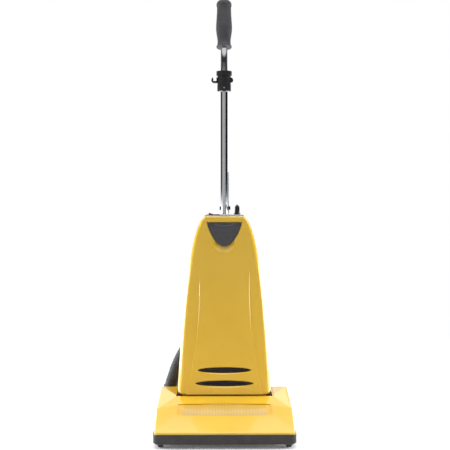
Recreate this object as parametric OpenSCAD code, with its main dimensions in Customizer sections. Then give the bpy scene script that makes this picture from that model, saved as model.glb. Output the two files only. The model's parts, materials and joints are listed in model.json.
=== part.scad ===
// Upright vacuum cleaner for commercial floors: a wide nozzle base on wheels, a tilting body
// with a swing-down bag door, a clean-air motor in a pod on the tilt axis, and a chromed handle.
// The front of the bumper is the depth datum and the floor is z = 0 while the pieces are drawn.

/* [Nozzle base] */
// Overall width, measured over the bumper
base_w = 370; // [350:2:400]
// How far the bumper stands proud of the hood at each side
bumper_proud = 3.5; // [2:0.5:6]
// Height of the bumper's lower edge over the floor
bumper_z = 12; // [10:1:16]
// Height of the bumper strip
bumper_h = 25; // [20:1:30]
// Depth from the bumper's face to the back edge of the hood
hood_len = 288; // [280:1:300]
// Wall of the hood
hood_wall = 3; // [2.5:0.5:4]
// Height of the ridge where the hood meets the body
ridge_z = 103; // [101:1:106]
// Height of the hood's back corners
wing_z = 98; // [96:1:101]
// Width of the headlight lens
lens_w = 222; // [180:2:230]
// Width of the recess that the lens lies in
lens_recess_w = 250; // [236:2:256]
// Wall of the chassis tray
tray_wall = 3; // [2.5:0.5:4]
// Height of the chassis floor's underside
floor_z = 11; // [10:0.5:13]

/* [Brush and belt] */
// Depth of the brush roll's axis
brush_y = 58; // [56:1:62]
// Height of the brush roll's axis
brush_z = 29.5; // [29:0.5:31]
// Radius of the brush roll's core
core_r = 17; // [15:0.5:18]
// Radius at the tips of the bristles
bristle_r = 28; // [25:0.5:28.5]
// Tufts in each row of bristles
tufts = 20; // [10:1:26]
// Distance of the belt's middle from the centre line
belt_x = 143; // [141:1:144]
// Width of the flat belt
belt_w = 12; // [8:1:13]
// Thickness of the flat belt
belt_t = 1.6; // [1.2:0.2:2.4]
// Radius of the pulley on the brush roll
brush_pulley_r = 15; // [13:0.5:16]
// Radius of the pulley on the motor shaft
motor_pulley_r = 8; // [7:0.5:9]

/* [Wheels] */
// Diameter of the back wheels over their tyres
wheel_d = 60; // [54:1:64]
// Width of the back wheels
wheel_w = 18; // [14:1:18]
// Depth of the back wheels' axis
wheel_y = 291; // [288:1:294]
// Distance of the back wheels' middle from the centre line
wheel_x = 165; // [164:0.5:166]
// Diameter of the front rollers
roller_d = 22; // [20:1:24]
// Width of the front rollers
roller_w = 14; // [10:1:15]
// Depth of the front rollers' axis
roller_y = 24; // [23:1:26]

/* [Tilt axis and motor] */
// Depth of the tilt axis
pivot_y = 275; // [272:1:277]
// Height of the tilt axis
pivot_z = 66; // [65:1:70]
// Radius of the motor pod
pod_r = 50; // [47:1:51]
// Width of the motor pod between its end walls
pod_w = 232; // [224:2:234]
// Radius of the hollow trunnions that the pod tilts on
trunnion_r = 18; // [16:0.5:19]
// Radius of the motor shaft
shaft_r = 4; // [3:0.5:5]
// Outer radius of the motor's can
can_r = 40; // [36:1:42]
// Number of blades on the motor fan
fan_blades = 8; // [6:1:11]
// Running clearance of shafts and pins, on the radius
run_gap = 0.05; // [0.03:0.01:0.09]

/* [Body] */
// Width across the bottom of the body
body_w = 257; // [253:1:259]
// Width of the flat top edge of the body
body_top_w = 110; // [104:1:120]
// Height of the body's lower edge
body_z = 104; // [104:0.5:106]
// Height of the body's top edge
body_top_z = 595; // [570:1:620]
// Depth of the body's face at its lower edge
face_y = 150; // [150:0.5:152]
// Lean of the body's face
face_lean = 2.1; // [1:0.1:3]
// Depth of the body's back wall
rear_y = 309; // [308:0.5:310]
// Wall of the door and the back housing
shell_wall = 3; // [2.5:0.5:4]
// Depth of the bag door from its face to its rim
door_d = 34; // [32:1:38]
// Rounding of the body's front edges
edge_r = 15; // [10:1:18]
// Rounding of the body's back edges
back_r = 16; // [10:1:20]
// Height of the shelf under the bag space
shelf_z = 238; // [230:1:246]
// Gap between the door's rim and the back housing
door_gap = 0.8; // [0.5:0.1:1.5]

/* [Latch] */
// Width of the latch along its top edge
latch_w = 92; // [85:1:100]
// Height of the latch from its top edge to its tip
latch_h = 61; // [55:1:68]
// Distance of the latch's top edge below the body's top edge
latch_drop = 19; // [17:1:24]
// Gap round the latch
latch_gap = 3; // [2.5:0.5:4]
// Thickness of the latch plate
latch_t = 5; // [4:0.5:6]

/* [Handle] */
// Outer diameter of the handle tubes
tube_d = 20; // [19:0.5:22]
// Wall of the handle tubes
tube_t = 1.5; // [1:0.1:2]
// Depth of the handle's axis
tube_y = 280; // [278:1:282]
// Height where the two handle tubes meet
tube_joint_z = 984; // [960:1:990]
// Depth of the tube's seat below the body's top edge
socket_depth = 80; // [60:5:100]
// Lean of the grip behind the vertical
grip_lean = 13; // [8:1:16]
// Bend radius of the upper tube
bend_r = 120; // [90:5:150]
// Length of the grip
grip_len = 146; // [130:1:150]
// Diameter of the grip at its swell
grip_d = 46; // [40:1:48]
// Diameter of the grip at its necks
neck_d = 36; // [32:1:38]

/* [Hose and tool] */
// Outer diameter of the hose
hose_d = 42; // [40:1:42]
// Inner diameter of the hose
hose_bore = 34; // [32:1:36]
// Distance from one rib of the hose to the next
rib_pitch = 6; // [5:0.5:8]
// Wall of the ring that ties the hose to the body
ring_t = 2.5; // [2:0.5:3]
// Length of the crevice tool
tool_len = 296; // [260:1:300]
// Width of the crevice tool at its tip
tool_w = 23.5; // [20:0.5:26]

/* [Vents and filters] */
// Width of the upper and of the lower vent
vent_w = [146, 159];
// Height of the two vents' middles
vent_z = [172.5, 136];
// Height of each vent
vent_h = 16; // [12:1:18]
// How far the door's middle panel stands out at its foot
crease_rise = 1.6; // [0.8:0.2:2.4]
// Width of the exhaust filter cover from front to back
cover_w = 70; // [60:1:74]
// Height of the exhaust filter cover
cover_h = 86; // [76:1:90]
// Height of the exhaust filter cover's lower edge
cover_z = 256; // [250:1:262]

/* [Switch and hooks] */
// Width of the switch plate
plate_w = 100; // [94:1:104]
// Length of the rocker
rocker_l = 31; // [26:1:34]
// Distance of the rocker's middle from the centre line
rocker_x = 30; // [28:1:32]
// Travel of the rocker
rocker_throw = 16; // [10:1:20]
// Distance of the lower cord hook from the centre line
hook_x = 37; // [34:1:40]
// Radius of the hole for the supply cord in its gland
cord_r = 4; // [3:0.5:5]

/* [Hidden] */
$fn = 48;
eps = 0.01;
gap = 0.5;                                  // between pieces of one body that only lie close
hood_w = base_w - 2 * bumper_proud;
tray_w = hood_w - 2 * hood_wall - 2 * gap;  // the tray stands inside the hood
hose_y = rear_y + 1 + hose_d / 2;
depth_all = hose_y + hose_d / 2 + ring_t;
body_h = body_top_z - body_z;
chamber_r = bristle_r + 3;
chamber_x = 152;                            // half the inside width of the brush chamber
arm_in = pod_w / 2 + 5;                     // inner faces of the two chassis arms
cradle_w = 10;
trunnion_end = arm_in + cradle_w;
recess_x = max(body_w / 2 + 3.5, trunnion_end + 1);  // half the hood's opening round the body
slope = 26.8;                               // of the hood's front
lens_y = [60, 100];
roller_x = tray_w / 2 - tray_wall - roller_w / 2 - 1.5;
bear_r = 12;                                // brush bearings
tuft_seat = 5;                              // depth of the tufts in the roll
bag_mount_y = 264;
mount_r = 17;
latch_top = body_h - latch_drop;            // on the door's face
latch_axis = [8.6, latch_top - 8];            // behind the face, above the door's lower edge
hinge = [12, 7];                            // door hinge behind the face, above its lower edge
hinge_pin_r = 2.5;
top_z = body_top_z + 2;                     // top of the switch plate
socket_z = body_top_z - socket_depth;
plate_y = [204, 302];
grip_foot_z = 1074;
collar_z = tube_joint_z - 36;
hose_turns = [18, 30, 50];                  // lean of the hose at the port, at the ring and at its steepest
hose_start = [-156.5, 88];
hose_arcs = [300, 200, 170];                // radius from port to ring, past the ring, and up to the inlet
function arc_len(r, a0, a1) = r * abs(a1 - a0) * PI / 180;
// The hose's runs from the port to the inlet: [length, lean at the end]
hose_runs = [
  [hose_d, hose_turns[0]], [arc_len(hose_arcs[0], hose_turns[0], hose_turns[1]), hose_turns[1]], [hose_d, hose_turns[1]],
  [hose_d, hose_turns[1]], [arc_len(hose_arcs[1], hose_turns[1], hose_turns[2]), hose_turns[2]], [40, hose_turns[2]],
  [arc_len(hose_arcs[2], hose_turns[2], 0), 0], [hose_d - 6, 0]];
ring_at = hose_node(2);
hose_end_z = hose_node(7)[1];
pedal_x = [recess_x + hood_wall + 1.5, hood_w / 2 - 5];
pedal_y = [140, hood_len - 7];
pedal_axis = [pedal_y[0] + 6, wing_z - 17];
pedal_posts = [pedal_x[0] + 15.5, pedal_x[1] - 16];
spring_at = [pedal_x[1] - 14, pedal_y[0] + 92];
spring_z = 64;                              // where the pedal's spring stands
post_x = tray_w / 2 - 7;                    // screw posts of the chassis
post_y = [64, 112];
plate_screws = [brush_y - 29, brush_y + 35];
tool_x = 2.8;
gland_x = -52;
ring_w = 18;
pocket_d = 16;                              // depth of the latch's pocket in the door
scoop_d = 10;                               // finger scoop: depth, radius of its ball, height
scoop_r = 63;
scoop_z = latch_top - latch_h + 12;
tool_z = 423;
inlet_at = [hose_node(7)[0], hose_y, hose_end_z + hose_d / 2 + 1];

yellow = "#e3b32f";
dark = "#3c383b";
black = "#1d1d20";
steel = "#b9bcc0";

// ---- shared geometry ----

module placed() { translate([0, -depth_all / 2, 0]) children(); }
module at_face() { translate([0, face_y, body_z]) rotate([-face_lean, 0, 0]) children(); }
module each_side() { children(); mirror([1, 0, 0]) children(); }
module along_x(x0, x1, r) { translate([x0, 0, 0]) rotate([0, 90, 0]) cylinder(r = r, h = x1 - x0); }
module along_y(y0, y1, r) { translate([0, y0, 0]) rotate([-90, 0, 0]) cylinder(r = r, h = y1 - y0); }
module block(x, y, z) { translate([x[0], y[0], z[0]]) cube([x[1] - x[0], y[1] - y[0], z[1] - z[0]]); }
module ring(r, bore, h) { difference() { cylinder(r = r, h = h); translate([0, 0, -1]) cylinder(r = bore, h = h + 2); } }

function bezier(p, t) = pow(1 - t, 3) * p[0] + 3 * pow(1 - t, 2) * t * p[1]
  + 3 * (1 - t) * t * t * p[2] + pow(t, 3) * p[3];

// Half of the body's outline, from the middle of its lower edge up its right side to its top edge
side_curve = [[body_w / 2, 14], [body_w / 2 - 7, 139], [body_top_w / 2 + 47, body_h - 32], [body_top_w / 2, body_h]];
half_outline = concat([for (a = [-90 : 22.5 : -1]) [body_w / 2 - 14 + 14 * cos(a), 14 + 14 * sin(a)]],
  [for (i = [0 : 14]) bezier(side_curve, i / 14)]);

// The outline drawn in by a wall, and narrowed from both sides by a share
function drawn_in(wall, narrow, lift) = [for (p = half_outline)
  [(p[0] - wall) * (1 - narrow), wall + lift + p[1] * (body_h - 2 * (wall + lift)) / body_h]];
// One ring of points round the outline, at a depth
function outline_ring(y, wall = 0, narrow = 0, lift = 0) = let (right = drawn_in(wall, narrow, lift), n = len(right))
  [for (i = [0 : 2 * n - 1]) i < n ? [right[i][0], y, right[i][1]] : [-right[2 * n - 1 - i][0], y, right[2 * n - 1 - i][1]]];
// Rings of a rounded edge, round the face at the front (way 1) or the back (way -1)
function edge_rings(y, wall, r, way) = [for (k = [0 : 4]) let (a = way > 0 ? 22.5 * k : 90 - 22.5 * k)
  outline_ring(y + way * (r - wall) * (1 - cos(a)), wall, (r - wall) / (body_w / 2) * (1 - sin(a)), 3 * (1 - sin(a)))];
module outline(wall) { polygon([for (p = outline_ring(0, wall)) [p[0], p[2]]]); }
function leaned(ring) = [for (p = ring) [p[0], face_y + p[1] * cos(face_lean) + p[2] * sin(face_lean),
  body_z - p[1] * sin(face_lean) + p[2] * cos(face_lean)]];
function raised(ring) = [for (p = ring) [p[0], p[1], p[2] + body_z]];
module loft(rings) {
  n = len(rings[0]);
  last = len(rings) - 1;
  polyhedron(points = [for (r = rings) each r], faces = concat(
    [[for (i = [n - 1 : -1 : 0]) i], [for (i = [0 : n - 1]) last * n + i]],
    [for (k = [0 : last - 1], i = [0 : n - 1]) [k * n + i, k * n + (i + 1) % n, (k + 1) * n + (i + 1) % n]],
    [for (k = [0 : last - 1], i = [0 : n - 1]) [k * n + i, (k + 1) * n + (i + 1) % n, (k + 1) * n + i]]));
}
module door_block(wall, reach) { loft(concat(edge_rings(wall, wall, edge_r, 1), [outline_ring(reach, wall)])); }
module housing_block(wall, front) {
  loft(concat([leaned(outline_ring(front, wall))],
    [for (ring = edge_rings(rear_y - wall, wall, back_r, -1)) raised(ring)]));
}

// ---- nozzle base ----

module tray_plan(w, y0, y1, r) {
  hull() for (side = [-1, 1]) {
    translate([side * (w / 2 - r), y0 + r]) circle(r);
    translate([side * (w / 2 - 2), y1 - 2]) circle(2, $fn = 24);
  }
}

module chassis() {
  color(dark) placed() difference() {
    union() {
      difference() {
        translate([0, 0, floor_z]) linear_extrude(bumper_z + bumper_h + 2 - floor_z)
          tray_plan(tray_w, 8, hood_len - 4, 12);
        translate([0, 0, floor_z + tray_wall]) linear_extrude(60)
          tray_plan(tray_w - 2 * tray_wall, 8 + tray_wall, hood_len - 4 - tray_wall, 9);
      }
      // Brush chamber
      intersection() {
        translate([0, brush_y, brush_z]) along_x(-chamber_x - 4, chamber_x + 4, chamber_r + 2.5);
        block([-200, 200], [9, 200], [floor_z, 90]);
      }
      // What stands in the tray keeps inside its plan: arms beside the motor pod with the cradles of
      // the tilt axis, wheel wells and roller wells
      intersection() {
        linear_extrude(120) tray_plan(tray_w, 8, hood_len - 4, 12);
        each_side() {
        block([arm_in, arm_in + tray_wall], [200, hood_len - 4], [floor_z, 56]);
        translate([0, pivot_y, pivot_z]) along_x(arm_in, trunnion_end, trunnion_r + 8);
        block([arm_in, trunnion_end], [pivot_y - 22, hood_len - 4], [floor_z, pivot_z - 8]);
        for (x = [[wheel_x - wheel_w / 2 - 5, wheel_x - wheel_w / 2 - 1], [tray_w / 2 - tray_wall, tray_w / 2]])
          block(x, [wheel_y - wheel_d / 2 - 4, wheel_y + 9], [floor_z, wheel_d / 2 + 9]);
        block([chamber_x + 2, tray_w / 2 - 1], [9, roller_y + 18], [floor_z, 30]);
        block([chamber_x + 2, tray_w / 2 - 1], [roller_y - 5, roller_y + 5], [roller_d / 2 - 4.5, 30]);
        }
      }
      each_side() for (y = post_y) translate([post_x, y, floor_z]) cylinder(r = 5, h = 40);
      // Posts that carry the pedal's pin and its spring
      for (x = pedal_posts) block([x, x + 4], [pedal_axis[0] - 5, pedal_axis[0] + 5], [floor_z, pedal_axis[1] + 3]);
      translate([spring_at[0], spring_at[1], floor_z]) cylinder(r = 8, h = spring_z - floor_z);
    }
    // Room for the brush and its mouth
    translate([0, brush_y, brush_z]) along_x(-chamber_x, chamber_x, chamber_r);
    block([-chamber_x + 2, belt_x - belt_w / 2 - 3], [brush_y - 24, brush_y + 30], [floor_z - 1, brush_z]);
    // Slot for the belt, and the way to the hose port
    block([belt_x - belt_w / 2 - 2, belt_x + belt_w / 2 + 2], [brush_y + 12, brush_y + 40], [floor_z + tray_wall, 58]);
    block([-chamber_x, -chamber_x + 34], [brush_y + 20, brush_y + 40], [floor_z + tray_wall + 2, 46]);
    // Open back between the arms
    block([-arm_in, arm_in], [pivot_y - pod_r - 10, hood_len + 10], [floor_z - 1, 90]);
    translate([0, brush_y, brush_z]) along_x(-chamber_x - 10, chamber_x + 10, bear_r);
    translate([0, pedal_axis[0], pedal_axis[1]]) along_x(pedal_x[0] + 2, pedal_x[1] - 2, 2);
    each_side() {
      block([recess_x - gap, recess_x + hood_wall + gap], [face_y, 400], [bumper_z + bumper_h - gap, 60]);
      // Bores of the tilt axis, the wheels and the rollers; the clamps close the cradles from above
      translate([0, pivot_y, pivot_z]) along_x(arm_in - 1, trunnion_end + 1, trunnion_r + run_gap);
      block([arm_in - 1, trunnion_end + 1], [pivot_y - 30, pivot_y + 30], [pivot_z, pivot_z + 30]);
      block([wheel_x - wheel_w / 2 - 2, wheel_x + wheel_w / 2 + 2], [wheel_y - wheel_d / 2 - 3, hood_len + 10],
        [floor_z - 1, 62]);
      translate([0, wheel_y, wheel_d / 2]) along_x(wheel_x - wheel_w / 2 - 6, tray_w / 2 + 1, 4);
      block([roller_x - roller_w / 2 - 1, roller_x + roller_w / 2 + 1], [roller_y - 13, roller_y + 13],
        [0, roller_d + 3]);
      translate([0, roller_y, roller_d / 2]) along_x(chamber_x + 1, tray_w / 2 + 1, 2);
      for (y = plate_screws) translate([chamber_x - 6, y, floor_z - 1]) cylinder(r = 1.9, h = 8);
    }
  }
}

// Corners of the hood's right half: rim, lip, side crest, middle crest, ridge and back
function hood_corners(t) = [
  [hood_w / 2 - t, 3 + t, bumper_z + bumper_h],
  [hood_w / 2 - t, 3 + t, bumper_z + bumper_h + 5 - t / 2],
  [hood_w / 2 - t, 6 + t, bumper_z + bumper_h + 8.5 - t],
  [hood_w / 2 - t, 90, 84 - t],
  [110 - t, 100, 93 - t],
  [recess_x - 4, face_y, ridge_z - t],
  [hood_w / 2 - t, hood_len - 6 - t, wing_z - t],
  [hood_w / 2 - t, hood_len - t, wing_z - 8],
  [hood_w / 2 - t, hood_len - t, bumper_z + bumper_h]];
module hood_form(t, r) {
  hull() for (side = [-1, 1]) for (p = hood_corners(t + r))
    translate([side * p[0], p[1], p[2]]) sphere(r, $fn = 16);
}
// The slope of the hood's front as a local plane: x across, y up the slope, z out of it
module on_slope(y = lens_y[0]) {
  translate([0, y, 45.5 + (y - 6) * tan(slope)]) rotate([slope, 0, 0]) children();
}

module hood() {
  lens_len = (lens_y[1] - lens_y[0]) / cos(slope);
  color(yellow) placed() difference() {
    hood_form(0, 3);
    difference() {
      hood_form(hood_wall, 1);
      // Lining of the opening round the body, and the pocket behind the lens
      block([-recess_x - hood_wall, recess_x + hood_wall], [face_y - 3 - hood_wall, 400], [0, 120]);
      on_slope() block([-lens_recess_w / 2 - 2, lens_recess_w / 2 + 2], [-2, lens_len + 2], [-6, 4]);
    }
    block([-recess_x, recess_x], [face_y - 3, 400], [0, 120]);
    block([-200, 200], [-1, 400], [0, bumper_z + bumper_h]);
    on_slope() {
      block([-lens_recess_w / 2, lens_recess_w / 2], [0, lens_len], [-3, 10]);
      block([-lens_w / 2 + 6, lens_w / 2 - 6], [5, lens_len - 5], [-10, 10]);
    }
    // Openings for the wheels, the hose duct and the pedal
    each_side() block([wheel_x - wheel_w / 2 - 2, 200], [wheel_y - wheel_d / 2 - 3, 400], [0, 60]);
    block([-hood_w / 2 + 4, -recess_x - 1], [hood_len - 8, 400], [0, wing_z - 5]);
    block([pedal_x[0] - 0.8, pedal_x[1] + 0.8], [pedal_y[0] - 0.8, pedal_y[1] + 0.8], [bumper_z + bumper_h + 20, 200]);
    // Slot that drops over the motor shaft
    block([recess_x - 1, recess_x + hood_wall + 1], [pivot_y - shaft_r - 3, pivot_y + shaft_r + 3], [0, pivot_z + shaft_r + 3]);
    // Room for the motor pulley
    translate([0, pivot_y, pivot_z]) along_x(recess_x + hood_wall, belt_x + belt_w / 2 + 4, motor_pulley_r + 3.5);
  }
}

module bumper() {
  color(dark) placed() translate([0, 0, bumper_z]) difference() {
    hull() for (z = [0, 3]) translate([0, 0, z])
      linear_extrude(bumper_h - z) tray_plan(base_w - 6 + 2 * z, 3 - z, 170, 14);
    translate([0, 0, -1]) linear_extrude(bumper_h + 2) tray_plan(tray_w + 0.2, 8, 400, 12);
    block([-200, 200], [160, 200], [-1, bumper_h + 1]);
  }
}

module headlight_lens() {
  lens_len = (lens_y[1] - lens_y[0]) / cos(slope);
  color("#f1e6c4") placed() on_slope() intersection() {
    block([-lens_w / 2, lens_w / 2], [0.6, lens_len - 0.6], [-3, 8]);
    // Crowned face
    translate([0, lens_len / 2, -56]) along_x(-lens_w / 2, lens_w / 2, 59.5, $fn = 180);
    translate([0, lens_len - 536.6, -10]) cylinder(r = 536, h = 40, $fn = 256);
  }
}

module headlight_lamps() {
  color("#e8e8e4") placed() on_slope() {
    block([-lens_w / 2 + 10, lens_w / 2 - 10], [14, 32], [-14, -11]);
    for (x = [-62, 62]) translate([x, 23, -11]) cylinder(r = 5, h = 3);
    for (x = [-62, 62]) translate([x, 23, -8]) cylinder(r = 3.5, h = 2);
  }
}

// Where a tuft of bristles stands, and the guards that pass between the tufts
bristle_x = [-chamber_x + 10, belt_x - belt_w / 2 - 12];
function tuft_x(i) = bristle_x[0] + (bristle_x[1] - bristle_x[0]) * i / (tufts - 1);
module guards(z0, z1) {
  for (i = [3 : 4 : tufts - 2]) block([tuft_x(i + 0.5) - 1.5, tuft_x(i + 0.5) + 1.5], [brush_y - 24, brush_y + 30], [z0, z1]);
}

module bottom_plate() {
  y0 = brush_y - 34;
  y1 = brush_y + 42;
  color(steel) placed() difference() {
    union() {
      block([-chamber_x, chamber_x], [y0, y1], [floor_z - 2, floor_z]);
      guards(floor_z - 3.2, floor_z - 2);
    }
    difference() {
      block([-chamber_x + 4, belt_x - belt_w / 2 - 5], [brush_y - 22, brush_y + 26], [0, 20]);
      guards(-1, 21);
    }
    each_side() for (y = plate_screws) translate([chamber_x - 6, y, 0]) cylinder(r = 2, h = 20);
  }
}

module base_screws() {
  color(steel) placed() {
    each_side() for (y = plate_screws) translate([chamber_x - 6, y, floor_z - 4]) {
      cylinder(r = 3.6, h = 2);
      cylinder(r = 1.9, h = 8);
    }
    each_side() for (y = post_y) translate([post_x, y, floor_z - 2]) cylinder(r = 3.6, h = 2);
  }
}

module brush_bearings() {
  color(black) placed() translate([0, brush_y, brush_z]) each_side() difference() {
    along_x(chamber_x, chamber_x + 6, bear_r);
    along_x(chamber_x - 1, chamber_x + 7, 5 + run_gap);
  }
}

// Two pulleys and the belt's run round them, seen from the side
module belt_loop(extra) {
  hull() {
    translate([brush_y, brush_z]) circle(brush_pulley_r + extra);
    translate([pivot_y, pivot_z]) circle(motor_pulley_r + extra);
  }
}
module drive_belt() {
  color(black) placed() translate([belt_x - belt_w / 2, 0, 0]) rotate([90, 0, 90]) linear_extrude(belt_w)
    difference() {
      belt_loop(0.4 + belt_t);
      belt_loop(0.4);
    }
}

module pivot_clamps() {
  color(black) placed() each_side() difference() {
    union() {
      intersection() {
        translate([0, pivot_y, pivot_z]) along_x(arm_in, trunnion_end, trunnion_r + 8);
        block([0, 200], [0, 400], [pivot_z, pivot_z + 60]);
      }
      block([arm_in, trunnion_end], [pivot_y - 30, pivot_y - trunnion_r], [pivot_z, pivot_z + 7]);
      block([arm_in, trunnion_end], [pivot_y + trunnion_r, pivot_y + 30], [pivot_z, pivot_z + 7]);
    }
    translate([0, pivot_y, pivot_z]) along_x(arm_in - 1, trunnion_end + 1, trunnion_r + run_gap);
  }
}

module wheel_pins() {
  color(steel) placed() each_side() {
    translate([0, wheel_y, wheel_d / 2]) along_x(wheel_x - wheel_w / 2 - 5, tray_w / 2, 4);
    translate([0, roller_y, roller_d / 2]) along_x(chamber_x + 2, tray_w / 2 - 0.5, 2);
  }
  color(steel) placed() translate([0, pedal_axis[0], pedal_axis[1]]) along_x(pedal_x[0] + 2, pedal_x[1] - 2, 2);
}

// Moulded duct from the brush chamber, over the left wheel, to the neck that the hose plugs on
module hose_port() {
  lean = hose_turns[0];
  duct_x = [-tray_w / 2 + tray_wall + 1, -recess_x - hood_wall - 1];
  module duct(wall) {
    hull() {
      block([-chamber_x + wall, -chamber_x + 30 - wall], [brush_y + chamber_r + 4, brush_y + chamber_r + 6],
        [floor_z + 5 + wall, 44 - wall]);
      block([-chamber_x - 10 + wall, duct_x[1] - wall], [136, 138], [38 + wall, 68 - wall]);
    }
    hull() {
      block([-chamber_x - 10 + wall, duct_x[1] - wall], [136, 138], [38 + wall, 68 - wall]);
      block([duct_x[0] + wall, duct_x[1] - wall], [200, 202], [wheel_d + 3 + wall, 89.5 - wall]);
    }
    hull() {
      block([duct_x[0] + wall, duct_x[1] - wall], [200, 202], [wheel_d + 3 + wall, 89.5 - wall]);
      block([duct_x[0] + wall, duct_x[1] - wall], [hood_len - 2, hood_len], [wheel_d + 3 + wall, 89.5 - wall]);
    }
    hull() {
      block([duct_x[0] + wall, duct_x[1] - wall], [hood_len - 2, hood_len], [wheel_d + 3 + wall, 89.5 - wall]);
      translate([hose_start[0], hose_y, hose_start[1]]) rotate([0, lean, 0]) translate([0, 0, -18 + wall])
        cylinder(r = hose_d / 2 - 1 - wall, h = 2, $fn = 32);
    }
  }
  color(dark) placed() difference() {
    union() {
      duct(0);
      translate([hose_start[0], hose_y, hose_start[1]]) rotate([0, lean, 0]) translate([0, 0, -17])
        cylinder(r = hose_d / 2, h = 17);
    }
    duct(2.5);
    translate([hose_start[0], hose_y, hose_start[1]]) rotate([0, lean, 0]) translate([0, 0, -16])
      cylinder(r = hose_bore / 2, h = 17);
  }
}

// ---- release pedal ----
// A panel of the hood itself, hinged at its front end
module release_pedal() {
  color(yellow) placed() difference() {
    union() {
      intersection() {
        difference() {
          hood_form(0, 3);
          hood_form(hood_wall, 1);
        }
        block(pedal_x, pedal_y, [bumper_z + bumper_h + 20, 200]);
      }
      intersection() {
        hood_form(1, 2);
        union() {
          for (x = [pedal_x[0] + 3, pedal_x[1] - 9]) block([x, x + 6], [pedal_axis[0] - 4, pedal_axis[0] + 4],
            [pedal_axis[1] - 4, 200]);
          translate([spring_at[0], spring_at[1], wing_z - 5]) cylinder(r = 7, h = 20);
        }
      }
    }
    translate([0, pedal_axis[0], pedal_axis[1]]) along_x(pedal_x[0] - 1, pedal_x[1] + 1, 2 + run_gap);
  }
}

module pedal_spring() {
  color(steel) placed() translate([spring_at[0], spring_at[1], spring_z]) ring(6, 4.6, wing_z - 5 - spring_z);
}

// ---- brush roll ----

module brush_roll() {
  color("#8a6a42") placed() translate([0, brush_y, brush_z]) {
    difference() {
      along_x(-chamber_x + 2, chamber_x - 2, core_r);
      difference() {
        along_x(belt_x - belt_w / 2 - 1, belt_x + belt_w / 2 + 1, core_r + 1);
        along_x(belt_x - belt_w / 2 - 2, belt_x + belt_w / 2 + 2, brush_pulley_r);
      }
      each_tuft(tuft_seat + 5);
    }
    along_x(-chamber_x - 5, chamber_x + 5, 5);
  }
}

// Two rows of round tufts, or of the holes that they stand in, along two flat spirals
module each_tuft(h, r = 2.6) {
  for (row = [0, 1], i = [0 : tufts - 1]) translate([tuft_x(i), 0, 0])
    rotate([row * 180 + 300 * i / tufts, 0, 0]) translate([0, 0, core_r - tuft_seat]) cylinder(r = r, h = h, $fn = 16);
}
module brush_bristles() {
  color(black) placed() translate([0, brush_y, brush_z]) each_tuft(bristle_r - core_r + tuft_seat);
}

// ---- wheels ----

module wheel_hub(axle_r) {
  rim = wheel_d / 2 - 6;
  difference() {
    union() {
      along_x(-wheel_w / 2, wheel_w / 2, 9);
      along_x(-2, 2, rim);
      difference() {
        along_x(-wheel_w / 2, wheel_w / 2, rim);
        along_x(-wheel_w / 2 - 1, wheel_w / 2 + 1, rim - 3);
      }
    }
    along_x(-wheel_w, wheel_w, axle_r);
  }
}
module tyre() {
  rotate([0, 90, 0]) rotate_extrude() polygon(concat([[wheel_d / 2 - 6, wheel_w / 2], [wheel_d / 2 - 6, -wheel_w / 2]],
    [for (a = [-90 : 18 : 90]) [wheel_d / 2 - 4 + 4 * cos(a), (wheel_w / 2 - 3) * sign(a) + 3 * sin(a)]]));
}
module rear_wheel_left() { color(dark) placed() translate([-wheel_x, wheel_y, wheel_d / 2]) wheel_hub(4 + run_gap); }
module rear_wheel_right() { color(dark) placed() translate([wheel_x, wheel_y, wheel_d / 2]) wheel_hub(4 + run_gap); }
module rear_tyre_left() { color(black) placed() translate([-wheel_x, wheel_y, wheel_d / 2]) tyre(); }
module rear_tyre_right() { color(black) placed() translate([wheel_x, wheel_y, wheel_d / 2]) tyre(); }

module roller() {
  difference() {
    rotate([0, 90, 0]) rotate_extrude() polygon([[0, -roller_w / 2], [roller_d / 2 - 2, -roller_w / 2],
      [roller_d / 2, -roller_w / 2 + 2], [roller_d / 2, roller_w / 2 - 2], [roller_d / 2 - 2, roller_w / 2],
      [0, roller_w / 2]]);
    along_x(-roller_w, roller_w, 2 + run_gap);
  }
}
module front_roller_left() { color(black) placed() translate([-roller_x, roller_y, roller_d / 2]) roller(); }
module front_roller_right() { color(black) placed() translate([roller_x, roller_y, roller_d / 2]) roller(); }

// ---- body ----

cover_y = [220, 220 + cover_w];
side_lean = 6.5;                            // of the body's side at the exhaust cover
// Local plane on the right side of the body at the cover: x out of the wall, z up it
module at_cover() {
  translate([body_w / 2 - 9.3, 0, cover_z]) rotate([0, -side_lean, 0]) children();
}

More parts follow.
